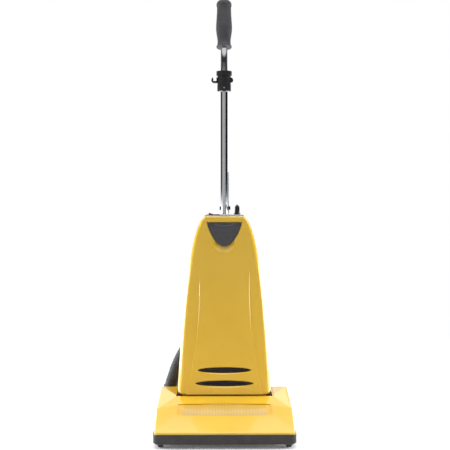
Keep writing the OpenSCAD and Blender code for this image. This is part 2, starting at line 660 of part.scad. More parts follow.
module rear_housing() {
  color(yellow) placed() difference() {
    union() {
      difference() {
        housing_block(0, door_d + door_gap);
        difference() {
          housing_block(shell_wall, door_d - 1);
          block([-200, 200], [0, 400], [shelf_z - 4, shelf_z]);
          // Post of the handle, walls of the filter pocket
          translate([0, tube_y, socket_z - 4]) cylinder(r = tube_d / 2 + 5, h = 200);
          block([body_w / 2 - 48, body_w / 2 + 20], [cover_y[0] - 1, 400], [shelf_z - 1, cover_z + cover_h + 4]);
          // Duct from the shelf down to the pod, and the bar that the latch hooks on
          block([-43, 43], [223, 289], [body_z, shelf_z]);
          at_face() {
            block([-22, 22], [door_d + 1.2, door_d + 2.8], [latch_axis[1] + 1, body_h]);
            block([-22, 22], [door_d + 2, door_d + 5.5], [latch_axis[1] + 6, body_h]);
          }
        }
      }
      // Saddle over the motor pod
      difference() {
        intersection() {
          translate([0, pivot_y, pivot_z]) along_x(-pod_w / 2 - 2, pod_w / 2 + 2, pod_r + 4);
          block([-200, 200], [0, 400], [pivot_z, body_z + 20]);
        }
        block([-200, 200], [0, 400], [body_z + 3, 200]);
      }
      // Arms of the door hinge
      each_side() at_face() {
        translate([0, hinge[0], hinge[1]]) along_x(70, 90, 6);
        block([70, 90], [hinge[0], door_d + 12], [hinge[1] - 3, hinge[1] + 6]);
        block([70, 90], [door_d + 1, door_d + 12], [1, hinge[1] + 6]);
      }
    }
    translate([0, pivot_y, pivot_z]) {
      along_x(-pod_w / 2, pod_w / 2, pod_r);
      along_x(-trunnion_end, trunnion_end, trunnion_r);
    }
    translate([inlet_at[0], 0, inlet_at[2]]) along_y(bag_mount_y, rear_y - shell_wall, mount_r);
    gasket_form();
    at_face() translate([0, hinge[0], hinge[1]]) along_x(-100, 100, hinge_pin_r + run_gap);
    // Tube seat, switch plate and switch
    translate([0, tube_y, socket_z]) cylinder(r = tube_d / 2, h = 200);
    block([-plate_w / 2, plate_w / 2], plate_y, [body_top_z - 3, body_top_z + 10]);
    block([-rocker_x - rocker_l / 2 - 1.2, -rocker_x + rocker_l / 2 + 1.2], [206, 228], [560, 700]);
    // Filter pocket, the air's way into it, and the air's way through the shelf
    at_cover() {
      block([-30, 30], [cover_y[0] + 4, cover_y[1] - 4], [4, cover_h - 4]);
      block([-3, 30], cover_y, [0, cover_h]);
    }
    block([-40, 40], [226, 286], [body_z + 3, shelf_z + 5]);
    block([88, 108], [230, 280], [shelf_z - 12, cover_z + 8]);
    // Bolt of the handle, inlet from the hose and the hole for the supply cord
    translate([0, 0, body_top_z - 45]) along_y(tube_y, rear_y + 1, 2.5);
    translate([inlet_at[0], 0, inlet_at[2]]) along_y(rear_y - 10, rear_y + 10, hose_bore / 2);
    translate([gland_x, 0, body_top_z - 60]) along_y(rear_y - 20, rear_y + 5, cord_r + 2);
  }
}

// ---- motor ----

module motor_pod() {
  color(black) placed() translate([0, pivot_y, pivot_z]) difference() {
    union() {
      along_x(-pod_w / 2, pod_w / 2, pod_r);
      along_x(-trunnion_end, trunnion_end, trunnion_r);
    }
    along_x(-pod_w / 2 + 3, pod_w / 2 - 3, pod_r - 3);
    along_x(-trunnion_end - 1, trunnion_end + 1, bear_r);
    // Way up to the filter
    block([-40, 40], [-30, 11], [0, 60]);
  }
}

motor_x = [-60, 70];                        // ends of the motor's can
module motor_field() {
  color(steel) placed() translate([0, pivot_y, pivot_z]) {
    difference() {
      along_x(motor_x[0] + 30, motor_x[1], can_r);
      along_x(motor_x[0] + 29, motor_x[1] - 2.5, can_r - 2);
      along_x(motor_x[0], motor_x[1] + 1, shaft_r + 3);
    }
    difference() {
      along_x(motor_x[0] + 40, motor_x[1] - 40, can_r - 2);
      along_x(motor_x[0] + 39, motor_x[1] - 39, 26);
    }
    difference() {
      along_x(motor_x[0] + 30, motor_x[0] + 33, pod_r - 3);
      along_x(motor_x[0] + 29, motor_x[0] + 34, can_r - 2);
    }
  }
}
module motor_bearings() {
  color(steel) placed() translate([0, pivot_y, pivot_z]) each_side() difference() {
    along_x(trunnion_end - 8, trunnion_end, bear_r);
    along_x(trunnion_end - 9, trunnion_end + 1, shaft_r + run_gap);
  }
}
module carbon_brushes() {
  color(dark) placed() translate([0, pivot_y, pivot_z]) for (way = [-1, 1])
    block([motor_x[1] - 26, motor_x[1] - 16], way > 0 ? [14.3, can_r - 2.3] : [2.3 - can_r, -14.3], [-4, 4]);
}
module armature() {
  color("#8d6a3f") placed() translate([0, pivot_y, pivot_z]) {
    along_x(-trunnion_end, belt_x + belt_w / 2 + 2, shaft_r);
    along_x(motor_x[0] + 42, motor_x[1] - 42, 25);
    along_x(motor_x[1] - 30, motor_x[1] - 12, 14);
  }
}
module motor_fan() {
  fan_x = motor_x[0];
  color(steel) placed() translate([0, pivot_y, pivot_z]) {
    difference() {
      union() {
        along_x(fan_x, fan_x + 2, pod_r - 6);
        along_x(fan_x, fan_x + 18, 9);
        for (i = [0 : fan_blades - 1]) rotate([360 / fan_blades * i, 0, 0]) rotate([0, 90, 0])
          translate([0, 0, fan_x + 1]) linear_extrude(14)
            difference() {
              translate([18, 6]) circle(24);
              translate([18, 8]) circle(23);
              translate([-60, -80]) square([120, 80]);
              translate([-60, -60]) square([66, 120]);
              translate([pod_r - 12, -60]) square([60, 120]);
            }
      }
      along_x(fan_x - 1, fan_x + 20, shaft_r);
    }
  }
}
module motor_pulley() {
  half = belt_w / 2 + 0.4;
  color(steel) placed() translate([belt_x, pivot_y, pivot_z]) difference() {
    union() {
      along_x(-half, half, motor_pulley_r);
      along_x(half, half + 1, motor_pulley_r + 2.5);
      along_x(-half - 1, -half, motor_pulley_r + 2.5);
    }
    along_x(-belt_w, belt_w, shaft_r);
  }
}

// ---- filters and bag ----

module motor_filter() {
  color("#6f7378") placed() block([-39.5, 39.5], [226.5, 285.5], [shelf_z - 4, shelf_z]);
}
module filter_grille() {
  color(dark) placed() difference() {
    block([-44, 44], [221, 291], [shelf_z, shelf_z + 3]);
    for (x = [-36 : 8 : 30]) block([x, x + 5], [228, 284], [shelf_z - 1, shelf_z + 4]);
  }
}
module filter_bag() {
  color("#d9cdb6") placed() {
    hull() {
      translate([0, 0, shelf_z + 14]) block([-58, 40], [215, 280], [0, 10]);
      block([-78, 58], [207, 252], [shelf_z + 60, 470]);
      block([-56, 60], [212, 246], [500, 545]);
    }
    translate([inlet_at[0], 0, inlet_at[2]]) along_y(240, 260, 13);
  }
}
module bag_collar() {
  color("#b08a58") placed() difference() {
    block([inlet_at[0] - 30, inlet_at[0] + 16], [260, 263], [inlet_at[2] - 34, inlet_at[2] + 19]);
    translate([inlet_at[0], 0, inlet_at[2]]) along_y(250, 270, 14);
  }
}
module bag_mount() {
  color(dark) placed() difference() {
    union() {
      translate([inlet_at[0], 0, inlet_at[2]]) along_y(bag_mount_y, rear_y - shell_wall, mount_r);
      block([inlet_at[0] - 32, inlet_at[0] + 16], [263, 266], [inlet_at[2] - 36, inlet_at[2] + 19]);
    }
    translate([inlet_at[0], 0, inlet_at[2]]) along_y(250, 320, 14);
  }
}
module hose_inlet() {
  color(dark) placed() difference() {
    union() {
      intersection() {
        translate([inlet_at[0], 0, inlet_at[2]]) along_y(rear_y, rear_y + 6, 26);
        block([inlet_at[0] - 30, inlet_at[0] + 30], [rear_y - 1, rear_y + 7], [hose_end_z + 0.5, inlet_at[2] + 30]);
      }
      translate([inlet_at[0], 0, inlet_at[2]]) along_y(rear_y, hose_y, hose_d / 2);
      translate([inlet_at[0], hose_y, inlet_at[2]]) sphere(r = hose_d / 2);
      translate([inlet_at[0], hose_y, hose_end_z + gap]) cylinder(r = hose_d / 2, h = hose_d / 2 + 1 - gap);
    }
    translate([inlet_at[0], 0, inlet_at[2]]) along_y(rear_y - 1, hose_y, hose_bore / 2);
    translate([inlet_at[0], hose_y, inlet_at[2]]) sphere(r = hose_bore / 2);
    translate([inlet_at[0], hose_y, hose_end_z - 1]) cylinder(r = hose_bore / 2, h = inlet_at[2] - hose_end_z + 1);
  }
}
module exhaust_filter() {
  color("#e7e5dc") placed() at_cover() {
    block([-27, -25], [cover_y[0] + 5, cover_y[1] - 5], [5, cover_h - 5]);
    for (y = [cover_y[0] + 6 : 5 : cover_y[1] - 9]) block([-25, -8], [y, y + 2.4], [6, cover_h - 6]);
  }
}
module exhaust_cover() {
  color(yellow) placed() at_cover() difference() {
    hull() {
      block([-2.5, 1], [cover_y[0] + gap, cover_y[1] - gap], [gap, cover_h - gap]);
      block([1, 7.5], [cover_y[0] + 6, cover_y[1] - 6], [5, cover_h - 7]);
    }
    for (i = [0 : 5]) block([-5, 12], [cover_y[0] + 12, cover_y[1] - 12], [14 + 10 * i, 18 + 10 * i]);
  }
}

// ---- switch and handle ----

module switch_plate() {
  color(dark) placed() difference() {
    block([-plate_w / 2, plate_w / 2], plate_y, [body_top_z - 3, top_z]);
    translate([0, tube_y, 0]) cylinder(r = tube_d / 2, h = 700);
    block([-rocker_x - rocker_l / 2 - 1.2, -rocker_x + rocker_l / 2 + 1.2], [206, 228], [500, 700]);
    translate([hook_x, 250, 0]) cylinder(r = 4 + run_gap, h = 700);
  }
}
module switch_body() {
  color(black) placed() difference() {
    union() {
      block([-rocker_x - rocker_l / 2 - 1, -rocker_x + rocker_l / 2 + 1], [206.3, 227.7], [574, top_z]);
      block([-rocker_x - rocker_l / 2 - 2, -rocker_x + rocker_l / 2 + 2], [204.5, 229.5], [top_z, top_z + 1]);
    }
    block([-rocker_x - rocker_l / 2 + 0.2, -rocker_x + rocker_l / 2 - 0.2], [208, 226], [584, 700]);
    translate([-rocker_x, 0, top_z - 4]) along_y(205, 229, 1.5 + run_gap);
  }
}
module rocker() {
  half = rocker_l / 2 - 1.4;
  color("#a3211c") placed() translate([-rocker_x, 217, top_z - 4]) rotate([0, rocker_throw / 2, 0]) {
    rotate([90, 0, 0]) translate([0, 0, -8]) linear_extrude(16)
      polygon([[-half, -2], [half, -2], [half, 8], [0, 5.5], [-half, 8]]);
    along_y(-9.4, 9.4, 1.5);
  }
}

module tube(z0, z1) { translate([0, tube_y, z0]) ring(tube_d / 2, tube_d / 2 - tube_t, z1 - z0); }
module handle_lower() { color(steel) placed() tube(socket_z, tube_joint_z); }

bend_z = 1030;                              // where the upper tube starts to lean
bend_drop = bend_r * sin(grip_lean);
module on_grip() {
  translate([0, tube_y + bend_r, bend_z]) rotate([-grip_lean, 0, 0]) translate([0, -bend_r, 0]) children();
}
grip_z = (grip_foot_z - bend_z - bend_drop) / cos(grip_lean);  // along the leaning tube
// The bent upper rod: straight, round the bend, and straight again into the grip
module bent_rod(r, z0, z1) {
  translate([0, tube_y, z0]) cylinder(r = r, h = bend_z + 1 - z0);
  translate([0, tube_y + bend_r, bend_z]) rotate([90, 0, -90])
    rotate_extrude(angle = grip_lean) translate([bend_r, 0]) circle(r + 0.05);
  on_grip() translate([0, 0, -1]) cylinder(r = r, h = z1 + 1);
}
module handle_upper() {
  color(steel) placed() difference() {
    bent_rod(tube_d / 2, tube_joint_z, grip_z + 100);
    bent_rod(tube_d / 2 - tube_t, tube_joint_z - 1, grip_z + 101);
  }
}
module grip() {
  r = [grip_d / 2, neck_d / 2];
  color("#4c4c50") placed() on_grip() translate([0, 0, grip_z]) difference() {
    rotate_extrude() polygon(concat([[0, 0], [r[0] - 2, 0], [r[0] - 1, 1], [r[0] - 1, 3]],
      [for (t = [0 : 0.1 : 1]) bezier([[r[1] + 2, 6], [r[1] - 2.5, 22], [r[0] + 1, 40], [r[0], 64]], t)],
      [for (t = [0.1 : 0.1 : 1]) bezier([[r[0], 64], [r[0] - 1, 88], [r[0] - 3, 104], [r[0] - 2.6, 123]], t)],
      [[r[0] - 1.2, 127]], [for (a = [0 : 10 : 90]) [(r[0] - 1.2) * cos(a), grip_len - 15 + 15 * sin(a)]]));
    translate([0, 0, -1]) cylinder(r = tube_d / 2, h = 101);
  }
}
module handle_collar() {
  color(black) placed() translate([0, tube_y, collar_z]) difference() {
    union() {
      cylinder(r = 19.5, h = 19);
      cylinder(r = 14.5, h = 46);
      translate([0, 0, 44]) cylinder(r = 22, h = 13);
    }
    translate([0, 0, -1]) cylinder(r = tube_d / 2, h = 80);
    translate([0, 0, 9]) along_y(-30, 0, 2.5);
  }
}
module handle_bolts() {
  color(steel) placed() {
    translate([0, tube_y, collar_z + 9]) along_y(-19, -tube_d / 2, 2.5);
    translate([0, 0, body_top_z - 45]) {
      along_y(rear_y, rear_y + 3, 5);
      along_y(tube_y + tube_d / 2, rear_y + 1, 2.5);
    }
  }
}
module upper_cord_hook() {
  color(black) placed() translate([0, tube_y, collar_z + 19.4]) difference() {
    union() {
      cylinder(r = 19, h = 24.2);
      // Rounded ears: the long one is slotted for the cord
      rotate([90, 0, 0]) translate([0, 0, -6]) linear_extrude(12) {
        translate([-28, 12.5]) circle(8.5);
        translate([-28, 4]) square([28, 16]);
        translate([18.5, 12.5]) circle(7.5);
        translate([0, 5]) square([18.5, 15]);
      }
    }
    translate([-31, -20, 10]) cube([9, 40, 20]);
    translate([0, 0, -1]) cylinder(r = 14.5 + run_gap, h = 40);
  }
}
module lower_cord_hook() {
  color(black) placed() translate([hook_x, 250, top_z + 0.4]) {
    cylinder(r = 8.7, h = 4);
    translate([0, 0, -5]) cylinder(r = 4, h = 6);
    hull() {
      cylinder(r = 7.5, h = 5, $fn = 24);
      translate([-6, -5.5, 18]) rotate([-90, 0, 0]) cylinder(r = 0.5, h = 11, $fn = 16);
      translate([6, -5.5, 18]) rotate([-90, 0, 0]) cylinder(r = 0.5, h = 11, $fn = 16);
      translate([0, 0, 20]) sphere(r = 6.5, $fn = 16);
    }
    hull() {
      translate([0, 0, 21]) sphere(r = 5.5, $fn = 16);
      translate([0, 22, 24]) sphere(r = 4, $fn = 16);
    }
    hull() {
      translate([0, 22, 24]) sphere(r = 4, $fn = 16);
      translate([0, 24, 15]) sphere(r = 3, $fn = 16);
    }
  }
}

// ---- hose ----
// The hose lies in one upright plane; its route is straight runs and arcs.
// End of a run that starts at p with lean a0
function run_end(p, a0, run, s) =
  let (a = a0 + (run[1] - a0) * s / run[0], r = run[1] == a0 ? 0 : run[0] / ((run[1] - a0) * PI / 180))
  r == 0 ? [p[0] + s * sin(a0), p[1] + s * cos(a0), a0]
    : [p[0] + r * (cos(a0) - cos(a)), p[1] + r * (sin(a) - sin(a0)), a];
function hose_node(i, n = 0, p = [hose_start[0], hose_start[1], hose_turns[0]]) =
  n > i ? p : hose_node(i, n + 1, run_end(p, p[2], hose_runs[n], hose_runs[n][0]));
function hose_at(s, n, last, p) =
  s <= hose_runs[n][0] || n == last ? run_end(p, p[2], hose_runs[n], s)
    : hose_at(s - hose_runs[n][0], n + 1, last, run_end(p, p[2], hose_runs[n], hose_runs[n][0]));

// A ribbed tube over runs n0 to n1, ending short of the last: each ring is 8 points round the route
module ribbed_hose(n0, n1, short = 0) {
  start = n0 == 0 ? [hose_start[0], hose_start[1], hose_turns[0]] : hose_node(n0 - 1);
  length = [for (i = [n0 : n1]) 1] * [for (i = [n0 : n1]) hose_runs[i][0]] - short;
  ribs = floor(length / rib_pitch);
  step = length / ribs;
  sides = 8;
  outer = [for (i = [0 : ribs - 1]) each [[i * step, hose_d / 2 - 1.5], [(i + 0.5) * step, hose_d / 2]],
    [length, hose_d / 2 - 1.5]];
  inner = [for (i = [ribs : -2 : 0]) [i * step, hose_bore / 2]];
  rings = concat(outer, inner);
  count = len(rings);
  points = [for (k = rings, j = [0 : sides - 1])
    let (p = hose_at(k[0], n0, n1, start), c = 360 / sides * (j + 0.5), u = k[1] * cos(c), v = k[1] * sin(c))
    [p[0] + u * cos(p[2]), hose_y + v, p[1] - u * sin(p[2])]];
  faces = [for (i = [0 : count - 1], j = [0 : sides - 1])
    let (a = i * sides + j, b = i * sides + (j + 1) % sides, c = (i + 1) % count * sides + j,
      d = (i + 1) % count * sides + (j + 1) % sides)
    each [[a, b, c], [b, d, c]]];
  polyhedron(points, faces);
}
module hose_lower() { color(black) placed() ribbed_hose(0, 2, gap); }
module hose_upper() { color(black) placed() ribbed_hose(3, 7); }

// ---- crevice tool ----

module crevice_form(wall) {
  hull() {
    translate([0, 0, 60]) cylinder(r = 17 - wall, h = 1, $fn = 32);
    translate([0, 0, tool_len - 60]) linear_extrude(1) square([tool_w - 2 * wall, 12 - 2 * wall], center = true);
  }
  translate([-tool_w / 2 + wall, -6 + wall, tool_len - 60]) cube([tool_w - 2 * wall, 12 - 2 * wall, 60 + wall]);
}
module crevice_tool() {
  color("#c9cbcd") placed() translate([tool_x, hose_y, tool_z]) difference() {
    union() {
      cylinder(r = 17, h = 60.5);
      crevice_form(0);
    }
    translate([0, 0, -1]) cylinder(r = 14.5, h = 61);
    crevice_form(2);
    translate([-tool_w, -10, tool_len]) rotate([0, -24, 0]) translate([-10, 0, -4]) cube([80, 20, 40]);
  }
}
// Cup that the tool's wide end stands in, and the clip that snaps on the tube from behind
module tool_holders() {
  clip_z = top_z + 12;
  color(dark) placed() {
    difference() {
      union() {
        translate([tool_x, hose_y, tool_z + 10]) cylinder(r = 20, h = 24);
        block([tool_x - 14, tool_x + 14], [rear_y, hose_y - 10], [tool_z + 6, tool_z + 38]);
      }
      translate([tool_x, hose_y, tool_z + 5]) cylinder(r = 17, h = 40);
    }
    difference() {
      union() {
        translate([0, tube_y, clip_z]) cylinder(r = tube_d / 2 + 2.5, h = 10);
        block([-3, 7], [tube_y + tube_d / 2 + 1, hose_y - 11], [clip_z, clip_z + 10]);
        block([tool_x - tool_w / 2 - 4, tool_x + tool_w / 2 + 4], [hose_y - 12, hose_y + 5], [clip_z, clip_z + 10]);
      }
      translate([0, tube_y, clip_z - 1]) cylinder(r = tube_d / 2, h = 12);
      block([-20, 20], [tube_y - 20, tube_y - 4], [clip_z - 1, clip_z + 11]);
      translate([tool_x, hose_y, tool_z]) crevice_form(0);
    }
  }
}
// Ring that ties the hose to the body, on its web
module hose_ring() {
  color(yellow) placed() translate([ring_at[0], hose_y, ring_at[1]]) rotate([0, hose_turns[1], 0]) difference() {
    union() {
      translate([0, 0, -ring_w / 2]) cylinder(r = hose_d / 2 + ring_t, h = ring_w);
      block([-12, 12], [rear_y - hose_y, -hose_d / 2], [-ring_w / 2, ring_w / 2]);
      block([-17, 17], [rear_y - hose_y, rear_y - hose_y + 2.2], [-ring_w / 2 - 6, ring_w / 2 + 6]);
    }
    translate([0, 0, -ring_w / 2 - 1]) cylinder(r = hose_d / 2 + gap, h = ring_w + 2);
    block([-60, 60], [-60, rear_y - hose_y], [-60, 60]);
  }
}

// ---- bag door and latch ----

// Shield of the latch: straight top, and sides that round into its foot
function shield(grow) = let (w = latch_w / 2 + grow, h = latch_h + grow)
  let (side = [[w, grow], [w - 4.5, grow - 22], [w - 22.5, -h], [0, -h]])
  concat([[-w, grow], [w, grow]], [for (i = [1 : 10]) bezier(side, i / 10)],
    [for (i = [9 : -1 : 1]) let (p = bezier(side, i / 10)) [-p[0], p[1]]]);
module shield_block(grow, y0, y1) {
  translate([0, y1, latch_top]) rotate([90, 0, 0]) linear_extrude(y1 - y0) polygon(shield(grow));
}
// A vent is a long flat oval
function vent_outline(w, h) = [for (a = [0 : 12 : 359]) [w / 2 * cos(a), h / 2 * sin(a)]];
module vent_cut(w, h) {
  translate([0, 0, -10]) linear_extrude(20) polygon(vent_outline(w, h));
  translate([0, 0, -1]) linear_extrude(4, slices = 1, scale = [1.06, 1.5]) polygon(vent_outline(w, h));
}

// Middle panel of the door: its two creases draw in and then spread, and it fades out at its top
crease_curve = [[75.8, 396], [53.9, 250], [81.5, 103.5], [body_w / 2 - 26, 2.5]];
module middle_panel() {
  top = crease_curve[0][1];
  loft([for (i = [14 : -1 : 0]) let (p = bezier(crease_curve, i / 14), y = -crease_rise * (1 - pow(p[1] / top, 2)))
    [[p[0] + 1.4, 0.6, p[1]], [p[0], y, p[1]], [-p[0], y, p[1]], [-p[0] - 1.4, 0.6, p[1]]]]);
}
module bag_door() {
  color(yellow) placed() at_face() difference() {
    union() {
      difference() {
        door_block(0, door_d);
        door_block(shell_wall, door_d + 1);
      }
      middle_panel();
      shield_block(latch_gap + shell_wall, 2, pocket_d + shell_wall);
      // Back of the finger scoop under the latch
      intersection() {
        translate([0, scoop_d - scoop_r, scoop_z]) sphere(scoop_r + shell_wall);
        block([-60, 60], [1.5, 30], [0, body_h]);
      }
      each_side() for (x = [62, 93]) block([x, x + 5], [2, hinge[0] + 5], [2, hinge[1] + 6]);
    }
    translate([0, scoop_d - scoop_r, scoop_z]) sphere(scoop_r);
    shield_block(latch_gap, -1, pocket_d);
    // Slot for the latch's hook
    block([-20, 20], [10, 40], [latch_axis[1] - 12, latch_axis[1] + 5]);
    translate([0, latch_axis[0], latch_axis[1]]) along_x(-latch_w / 2 - 5, latch_w / 2 + 5, 2.5 + run_gap);
    for (i = [0, 1]) translate([0, 0, vent_z[i] - body_z]) rotate([90, 0, 0]) vent_cut(vent_w[i], vent_h);
    each_side() block([68, 92], [hinge[0] - 8, door_d + 1], [-1, hinge[1] + 8]);
    translate([0, hinge[0], hinge[1]]) along_x(-110, 110, hinge_pin_r);
    block([-200, 200], [door_d - 5, door_d + 1], [-1, hinge[1] + 1]);
  }
}
lip_r = 75;
module latch() {
  color("#454548") placed() at_face() {
    intersection() {
      shield_block(0, -2, latch_t - 0.5);
      union() {
        shield_block(0, 1, latch_t);
        translate([0, 42, latch_top - 9]) along_x(-latch_w / 2, latch_w / 2, 43.5, $fn = 180);
      }
    }
    // Curved lip across the face
    intersection() {
      translate([0, -0.6, latch_top - 8 + lip_r]) rotate([90, 0, 0]) rotate_extrude($fn = 180)
        translate([lip_r, 0]) circle(1.8, $fn = 24);
      block([-29, 29], [-4, 3], [latch_top - 12, latch_top - 1]);
    }
    // Ears and trunnions
    each_side() {
      block([latch_w / 2 - 5, latch_w / 2 - 2], [latch_t - 2, latch_axis[0] + 3], [latch_axis[1] - 3, latch_axis[1] + 3]);
      block([27, 30], [latch_t - 2, latch_axis[0] + 3], [latch_axis[1] - 3, latch_axis[1] + 3]);
      translate([0, latch_axis[0], latch_axis[1]]) along_x(27, latch_w / 2 + 4.4, 2.5);
    }
    // Hook behind the bar of the back housing
    block([-16, 16], [latch_t - 2, door_d + 6], [latch_axis[1] - 4, latch_axis[1]]);
    block([-16, 16], [door_d + 3.4, door_d + 6], [latch_axis[1] - 4, latch_axis[1] + 3]);
  }
}
module latch_spring() {
  color(steel) placed() at_face() translate([0, latch_axis[0], latch_axis[1]]) difference() {
    along_x(-40, -31, 4);
    along_x(-41, -30, 2.6);
  }
}
module vent_grille() {
  color(black) placed() at_face() difference() {
    block([-88, 88], [shell_wall, shell_wall + 3], [vent_z[1] - body_z - 14, vent_z[0] - body_z + 14]);
    for (i = [0, 1], z = [-5, 0, 5]) translate([0, 0, vent_z[i] - body_z + z])
      block([-58, 58], [0, 20], [-1, 1]);
  }
}
module gasket_form() {
  at_face() translate([0, door_d + 3, 0]) rotate([90, 0, 0]) linear_extrude(2.2) difference() {
    intersection() {
      outline(shell_wall);
      translate([-200, shelf_z - body_z]) square([400, 400]);
    }
    intersection() {
      outline(shell_wall + 2);
      translate([-200, shelf_z - body_z + 2]) square([400, 400]);
    }
  }
}
module door_gasket() { color(dark) placed() gasket_form(); }
module door_hinge_pin() {
  color(steel) placed() at_face() translate([0, hinge[0], hinge[1]]) along_x(-98, 98, hinge_pin_r);
}
module cord_gland() {
  color(black) placed() translate([gland_x, 0, body_top_z - 60]) difference() {
    union() {
      along_y(rear_y, rear_y + 4, cord_r + 9);
      along_y(rear_y, rear_y + 21, cord_r + 4);
    }
    along_y(rear_y - 1, rear_y + 1, cord_r + 2);
    along_y(rear_y + 1, rear_y + 22, cord_r);
  }
}

chassis();
hood();
bumper();
headlight_lens();
headlight_lamps();
bottom_plate();
base_screws();
brush_bearings();
drive_belt();
pivot_clamps();
wheel_pins();
hose_port();
pedal_spring();
release_pedal();
brush_roll();
brush_bristles();
rear_wheel_left();
rear_wheel_right();
rear_tyre_left();
rear_tyre_right();
front_roller_left();
front_roller_right();
rear_housing();
motor_pod();
motor_field();
motor_bearings();
carbon_brushes();
armature();
motor_fan();
motor_pulley();
motor_filter();
filter_grille();
filter_bag();
bag_collar();
bag_mount();
hose_inlet();
exhaust_filter();
exhaust_cover();
switch_plate();
switch_body();
rocker();
handle_lower();
handle_upper();
handle_collar();
handle_bolts();
grip();
upper_cord_hook();
lower_cord_hook();
hose_lower();
hose_upper();
crevice_tool();
tool_holders();
hose_ring();
bag_door();
latch();
latch_spring();
vent_grille();
door_gasket();
door_hinge_pin();
cord_gland();
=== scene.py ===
import json
import math
import random
import bpy
from mathutils import Matrix, Vector, noise


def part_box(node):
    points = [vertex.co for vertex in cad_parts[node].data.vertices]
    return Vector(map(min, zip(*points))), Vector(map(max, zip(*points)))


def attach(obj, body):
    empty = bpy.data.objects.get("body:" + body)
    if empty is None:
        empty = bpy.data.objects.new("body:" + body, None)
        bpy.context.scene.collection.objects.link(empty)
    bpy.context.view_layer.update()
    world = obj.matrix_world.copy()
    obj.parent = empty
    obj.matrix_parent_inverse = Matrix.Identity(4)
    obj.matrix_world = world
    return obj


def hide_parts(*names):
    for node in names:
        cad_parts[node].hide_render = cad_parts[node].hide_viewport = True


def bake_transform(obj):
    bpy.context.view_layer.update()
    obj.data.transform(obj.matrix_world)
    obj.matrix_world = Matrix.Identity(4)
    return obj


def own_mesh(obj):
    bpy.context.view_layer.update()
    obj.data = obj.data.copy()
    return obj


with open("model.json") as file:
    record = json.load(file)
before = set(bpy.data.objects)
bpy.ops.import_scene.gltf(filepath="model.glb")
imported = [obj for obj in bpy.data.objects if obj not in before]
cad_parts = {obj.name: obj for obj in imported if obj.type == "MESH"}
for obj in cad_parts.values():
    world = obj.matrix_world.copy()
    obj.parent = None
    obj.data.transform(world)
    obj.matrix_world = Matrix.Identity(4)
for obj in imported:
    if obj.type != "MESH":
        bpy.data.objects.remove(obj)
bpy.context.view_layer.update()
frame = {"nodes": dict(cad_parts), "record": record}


nodes = frame["nodes"]
scene = bpy.context.scene
print("frame loaded:", len(nodes), "nodes")

mm = 0.001  # in metres
halfDepth = 0.17725  # metres from the bumper's face to the middle of the frame


def place(x, depth, z):
    # millimetres across, behind the bumper's face and up, to metres in the frame
    return Vector((x / 1000, depth / 1000 - halfDepth, z / 1000))


def toLinear(code, gain=1, lift=0):
    # an sRGB hex value as a linear colour, which gain and lift make paler or darker
    parts = [int(code[i:i + 2], 16) / 255 for i in (1, 3, 5)]
    linear = [c / 12.92 if c <= 0.04045 else ((c + 0.055) / 1.055) ** 2.4 for c in parts]
    return tuple(min(1, c * gain + lift) for c in linear) + (1.0,)


def perMetre(millimetres):
    # texture scale whose features are this many millimetres apart
    return 1000 / millimetres


def fillInputs(tree, node, inputs):
    # a node or a socket is linked, and anything else is the input's own value
    for name, value in inputs.items():
        if isinstance(value, bpy.types.Node):
            value = value.outputs[0]
        if isinstance(value, bpy.types.NodeSocket):
            tree.links.new(value, node.inputs[name])
        else:
            node.inputs[name].default_value = value


def addNode(tree, kind, inputs=None, **settings):
    # one node with its settings, values and links
    node = tree.nodes.new("ShaderNode" + kind)
    for name, value in settings.items():
        setattr(node, name, value)
    fillInputs(tree, node, inputs or {})
    return node


def fadeBetween(tree, pattern, limits, first, second, most=1):
    # one colour turns into another, up to a share, while the pattern rises between its limits
    share = addNode(tree, "MapRange", {"Value": pattern, "From Min": limits[0], "From Max": limits[1],
                                       "To Max": most})
    return addNode(tree, "Mix", {0: share, 6: first, 7: second}, data_type="RGBA").outputs[2]


# metres and degrees, and millimetres for the focal length and the sensor's width
camera = {"back": 2.1148, "left": 0.016, "height": 0.6589, "tiltDown": 2.2176, "turn": -0.444,
          "focal": 66.647, "sensor": 36, "seesTo": 50}

cameraData = bpy.data.cameras.new("camera")
cameraData.lens = camera["focal"]
cameraData.sensor_width = camera["sensor"]
cameraData.clip_end = camera["seesTo"]
cameraObject = bpy.data.objects.new("camera", cameraData)
cameraObject.location = (-camera["left"], -camera["back"] - halfDepth, camera["height"])
cameraObject.rotation_euler = (math.radians(90 - camera["tiltDown"]), 0, math.radians(camera["turn"]))
scene.collection.objects.link(cameraObject)
scene.camera = cameraObject

# edges of the pale floor, in metres
studioFloor = {"left": -1.5, "right": 1.5, "front": -0.45, "back": 1.4}

floorMesh = bpy.data.meshes.new("studio_floor")
floorCorners = [(studioFloor[side], studioFloor[end], 0)
                for side, end in (("left", "front"), ("right", "front"), ("right", "back"), ("left", "back"))]
floorMesh.from_pydata(floorCorners, [], [(0, 1, 2, 3)])
floor = bpy.data.objects.new("studio_floor", floorMesh)
scene.collection.objects.link(floor)

